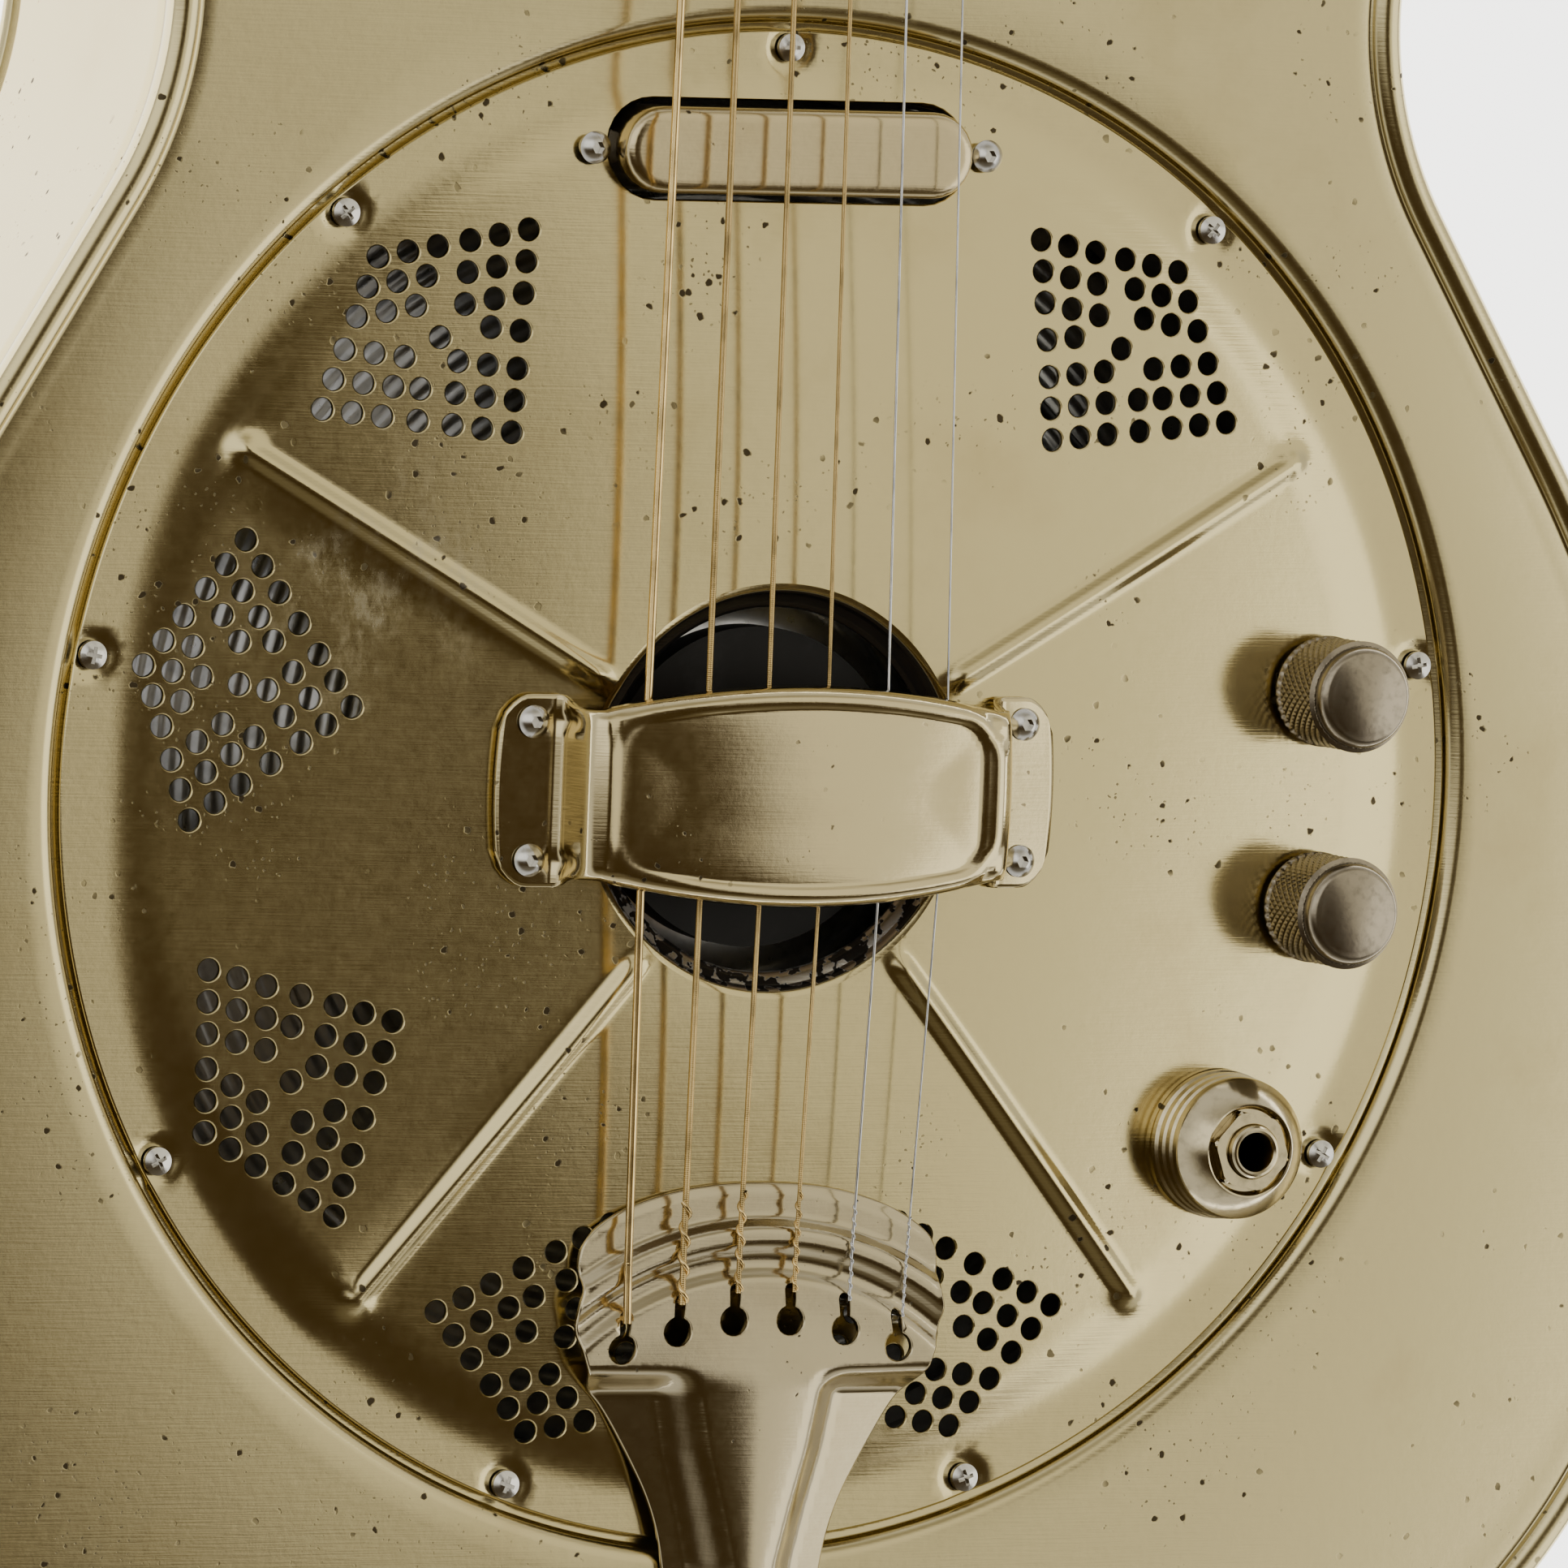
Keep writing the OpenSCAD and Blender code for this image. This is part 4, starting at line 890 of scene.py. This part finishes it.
cap = np.linspace(0, math.pi / 2, 9)
crown_r = np.linspace(6.6, 0, 12)
cap_r = np.concatenate([[8.95], 7.2 + 1.7 * np.cos(cap), crown_r])
cap_z = np.concatenate([[13.9], 14.9 + 1.7 * np.sin(cap), 16.62 + 0.75 * (1 - (crown_r / 7.2) ** 2)])
for name, (x, y, _) in zip(("volume", "tone"), CONTROLS):
    base_r, dome_r = 0 * grip_angle + [7.2, 9.4], 0 * grip_angle + cap_r
    radii = np.concatenate([base_r, knurled_radius(grip_angle, grip_z), dome_r], 1)
    heights = np.concatenate([[0.0, 0.0], grip_z[0], cap_z])[None] + KNOB_BASE + SEAT
    knob_x, knob_y = x + np.cos(grip_angle) * radii, y + np.sin(grip_angle) * radii
    knob = grid(name + "_grip", knob_x, knob_y, heights, loop_rows=True)
    knob.data.materials.append(knob_metal)
    solidify(knob, 0.8)
    knob.data.set_sharp_from_angle(angle=math.radians(60))
    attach(knob, name + "_control")
    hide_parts(name + "_knob")
steel = plain_metal("pot_steel", (0.56, 0.55, 0.54), 0.4, 250, 0.1)
finish(steel, "pot_cases")
finish(nickel, "pot_nuts", "volume_pot_shaft", "tone_pot_shaft")


# Output jack: a turned, grooved cup stands on the plate, and a threaded barrel comes up through it. A hexagon
# nut on the barrel clamps the two; the contacts and their wires hang below.
jack_metal = plain_metal("jack_nickel", (0.52, 0.445, 0.28), 0.15, 500, 0.05)
JACK = CONTROLS[2][:2]
JACK_SEAT, NUT_SEAT, HALF_FLATS = 2.7, 14.25, 6.45
# (radius, height) pairs, each going round the metal's section
cup = np.array([(5.0, 0.0), (12.8, 0.0), (13.2, 0.4), (13.15, 1.6), (12.5, 2.0), (12.5, 2.3), (12.95, 2.7),
                (12.9, 4.1), (12.3, 4.4), (12.3, 4.7), (12.75, 5.1), (12.7, 6.5), (12.1, 6.8), (12.1, 7.1),
                (12.55, 7.5), (12.45, 8.6), (12.2, 9.1), (8.6, 12.75), (8.25, 12.98), (7.95, 12.9),
                (7.75, 12.5), (7.6, 11.75), (7.3, 11.5), (5.0, 11.5), (5.0, 0.0)])
jack_cup = turned("jack_ferrule", cup[:, 0], cup[:, 1] + JACK_SEAT + SEAT, 160, JACK)
barrel = np.array([(3.3, -18.0), (4.7, -18.0), (4.7, 17.2), (4.62, 17.8), (4.3, 18.15), (3.9, 18.2),
                   (3.5, 17.95), (3.3, 17.5), (3.3, -18.0)])
jack_barrel = turned("jack_sleeve", barrel[:, 0], barrel[:, 1] + SEAT, 96, JACK)
# the same for the nut, whose flats cut into these radii
nut_section = np.array([(4.75, 0.0), (7.0, 0.0), (7.6, 0.35), (7.6, 2.0), (6.95, 2.4), (4.95, 2.4),
                        (4.75, 2.2), (4.75, 0.0)])
hex_angle = np.linspace(0, 2 * math.pi, 120, endpoint=False)[:, None]
flats = HALF_FLATS / np.cos((hex_angle + math.radians(12)) % (math.pi / 3) - math.pi / 6)
nut_r = np.minimum(flats, nut_section[:, 0])
nut_x, nut_y = JACK[0] + np.cos(hex_angle) * nut_r, JACK[1] + np.sin(hex_angle) * nut_r
nut_z = nut_section[:, 1] + NUT_SEAT + SEAT
jack_nut = grid("jack_hex_nut", nut_x, nut_y, nut_z, loop_rows=True, flip=True)
for piece, old in ((jack_cup, "jack_cup"), (jack_barrel, "jack_barrel"), (jack_nut, "jack_nut")):
    piece.data.materials.append(jack_metal)
    piece.data.set_sharp_from_angle(angle=math.radians(28))
    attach(piece, "root")
    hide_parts(old)
finish(plain_metal("contact_brass", (0.75, 0.58, 0.28), 0.3, 300, 0.05), "jack_contacts")
finish(lacquer("wire_cover", (0.02, 0.02, 0.02), 0.4), "wiring")


# Neck: mahogany glued under a rosewood board, with nickel-silver frets, pearl dots and a bone nut. The solid
# headstock carries six enclosed tuners with cream buttons, and a black cover over the truss rod's end.
mahogany = timber("mahogany", (0.13, 0.045, 0.018), (0.27, 0.105, 0.042), 2.2, 0.28)
rosewood = timber("rosewood", (0.030, 0.014, 0.008), (0.085, 0.038, 0.020), 3.0, 0.42)
finish(mahogany, "neck")
finish(rosewood, "fretboard")
finish(plain_metal("fret_wire", (0.72, 0.71, 0.68), 0.2, 300, 0.03), "frets")
finish(lacquer("pearl", (0.72, 0.70, 0.64), 0.15, 0.15, scale=300), "fret_markers")
finish(lacquer("bone", (0.78, 0.72, 0.58), 0.35, scale=150), "nut")
finish(steel, "truss_rod")
finish(lacquer("black_plastic", (0.015, 0.015, 0.016), 0.2, scale=90), "truss_rod_cover")
finish(nickel, "tuner_housings", "tuner_bushings", "headstock_screws")
finish(nickel, *[f"tuner_post_{k}" for k in range(1, 7)])
finish(lacquer("cream_button", (0.74, 0.68, 0.50), 0.2, scale=120), *[f"tuner_key_{k}" for k in range(1, 7)])


# Strings: bronze wound on steel for the lower four, plain steel for the upper two. The low E's winding is
# coarse enough to see; each of the others has its end twisted round itself below the ball.
RADII = [0.72, 0.56, 0.46, 0.36, 0.24, 0.19]
SADDLE_TOP, SADDLE_SPREAD, NUT_SPREAD = 13.5, 58.0, 39.0
NUT_AT, NECK_LEAN = 639.95, math.radians(0.45)
NUT_HEIGHT = 9.6


def string_metal(name, colour, roughness, pitch):
    """Metal with fine rings across the string, as a winding has, with painted shade darkening the grooves
    between the rings; pitch in millimetres, 0 for none.
    """
    material, shader, place = blank(name, 1.0)
    shader.inputs["Roughness"].default_value = roughness
    dark = tuple(c * 0.55 for c in colour)
    base = mix(noise(place, 150.0, 3.0).over(0.42, 0.75), (*colour, 1), (*dark, 1))
    if pitch:
        phase = apart(place)[1] * (2000 * math.pi / pitch)
        rings = node(place.tree, "ShaderNodeMath", {"operation": "SINE"}, [phase])
        roughen(shader, rings, 0.6, 0.00006)
        # painted shade: the colour darkens towards three tenths of itself in the grooves between the rings,
        # where the winding shades itself
        base = mix((rings * -0.5 + 0.5).clip() * 0.45, base, (*(c * 0.3 for c in colour), 1))
    base.into(shader, "Base Color")
    return material


bronze = string_metal("bronze_winding", (0.78, 0.57, 0.25), 0.22, 0)
wound = string_metal("fine_bronze_winding", (0.78, 0.57, 0.25), 0.25, 0.36)
plain_steel = string_metal("plain_steel", (0.62, 0.62, 0.62), 0.2, 0)
finish(bronze, "string_1")
finish(wound, "string_2", "string_3", "string_4")
finish(plain_steel, "string_5", "string_6")


def string_places(k):
    """Ridge of the tailpiece, saddle and nut, for string k, in millimetres."""
    share = (k - 1) / 5 - 0.5
    hole = KEYHOLES[k - 1] if k < 4 else KEYHOLES[6 - k]
    slot_x = -hole[0] if k < 4 else hole[0]
    slot_y, radius = hole[1] + 5.2, RADII[k - 1]
    over = [slot_x * 0.9 + share * SADDLE_SPREAD * 0.1, slot_y + 10, 9.5 + radius]
    bridge = [share * SADDLE_SPREAD, 0, SADDLE_TOP + radius]
    reach, rise = NUT_AT - JOINT_Y, NUT_HEIGHT + radius + 0.05 - 8
    nut = [share * NUT_SPREAD, JOINT_Y + reach * math.cos(NECK_LEAN) + rise * math.sin(NECK_LEAN),
           8 - reach * math.sin(NECK_LEAN) + rise * math.cos(NECK_LEAN)]
    return np.array([[slot_x, slot_y + 0.3, 9.4 + radius], over, bridge, nut]) + [0, 0, SEAT]


def along(places, spacing):
    """Points every spacing along a run of straight stretches."""
    steps = np.concatenate([[0], np.cumsum(np.linalg.norm(np.diff(places, axis=0), axis=1))])
    travel = np.arange(0, steps[-1], spacing)
    return np.stack([np.interp(travel, steps, places[:, axis]) for axis in range(3)], 1), travel


def tube(name, centres, radius, sides=8):
    """A pipe round a path: rings square to its direction; radius is a number or rings by sides."""
    run = np.gradient(centres, axis=0)
    run /= np.linalg.norm(run, axis=1)[:, None]
    side = np.cross(run, [0, 0, 1.0])
    side /= np.linalg.norm(side, axis=1)[:, None]
    up = np.cross(side, run)
    angle = np.linspace(0, 2 * math.pi, sides, endpoint=False)
    radius = np.broadcast_to(np.asarray(radius, float), (len(centres), sides))[..., None]
    spoke = np.cos(angle)[:, None] * side[:, None] + np.sin(angle)[:, None] * up[:, None]
    surface = centres[:, None] + radius * spoke
    return grid(name, surface[..., 0], surface[..., 1], surface[..., 2], loop_columns=True, flip=True)


PITCH = 0.46
path, travel = along(string_places(1), PITCH / 4)
turns = travel[:, None] * 2 * math.pi / PITCH - np.linspace(0, 2 * math.pi, 8, endpoint=False)
winding = tube("low_string_winding", path, RADII[0] - 0.03 + 0.07 * np.cos(turns))
winding.data.materials.append(bronze)
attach(winding, "root")
for k in range(2, 7):
    radius = RADII[k - 1]
    end = string_places(k)
    path, travel = along(end[:3], 0.12)
    path, travel = path[travel < 17.5], travel[travel < 17.5]
    lay = travel * 2 * math.pi / (radius * 9)
    sway = np.stack([np.cos(lay), 0 * lay, np.sin(lay)], 1) * radius * 1.25
    twist = tube(f"twisted_end_{k}", path + sway + [0, 0, radius * 0.3], radius * 0.8)
    twist.data.materials.append(bronze if k < 5 else plain_steel)
    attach(twist, "root")
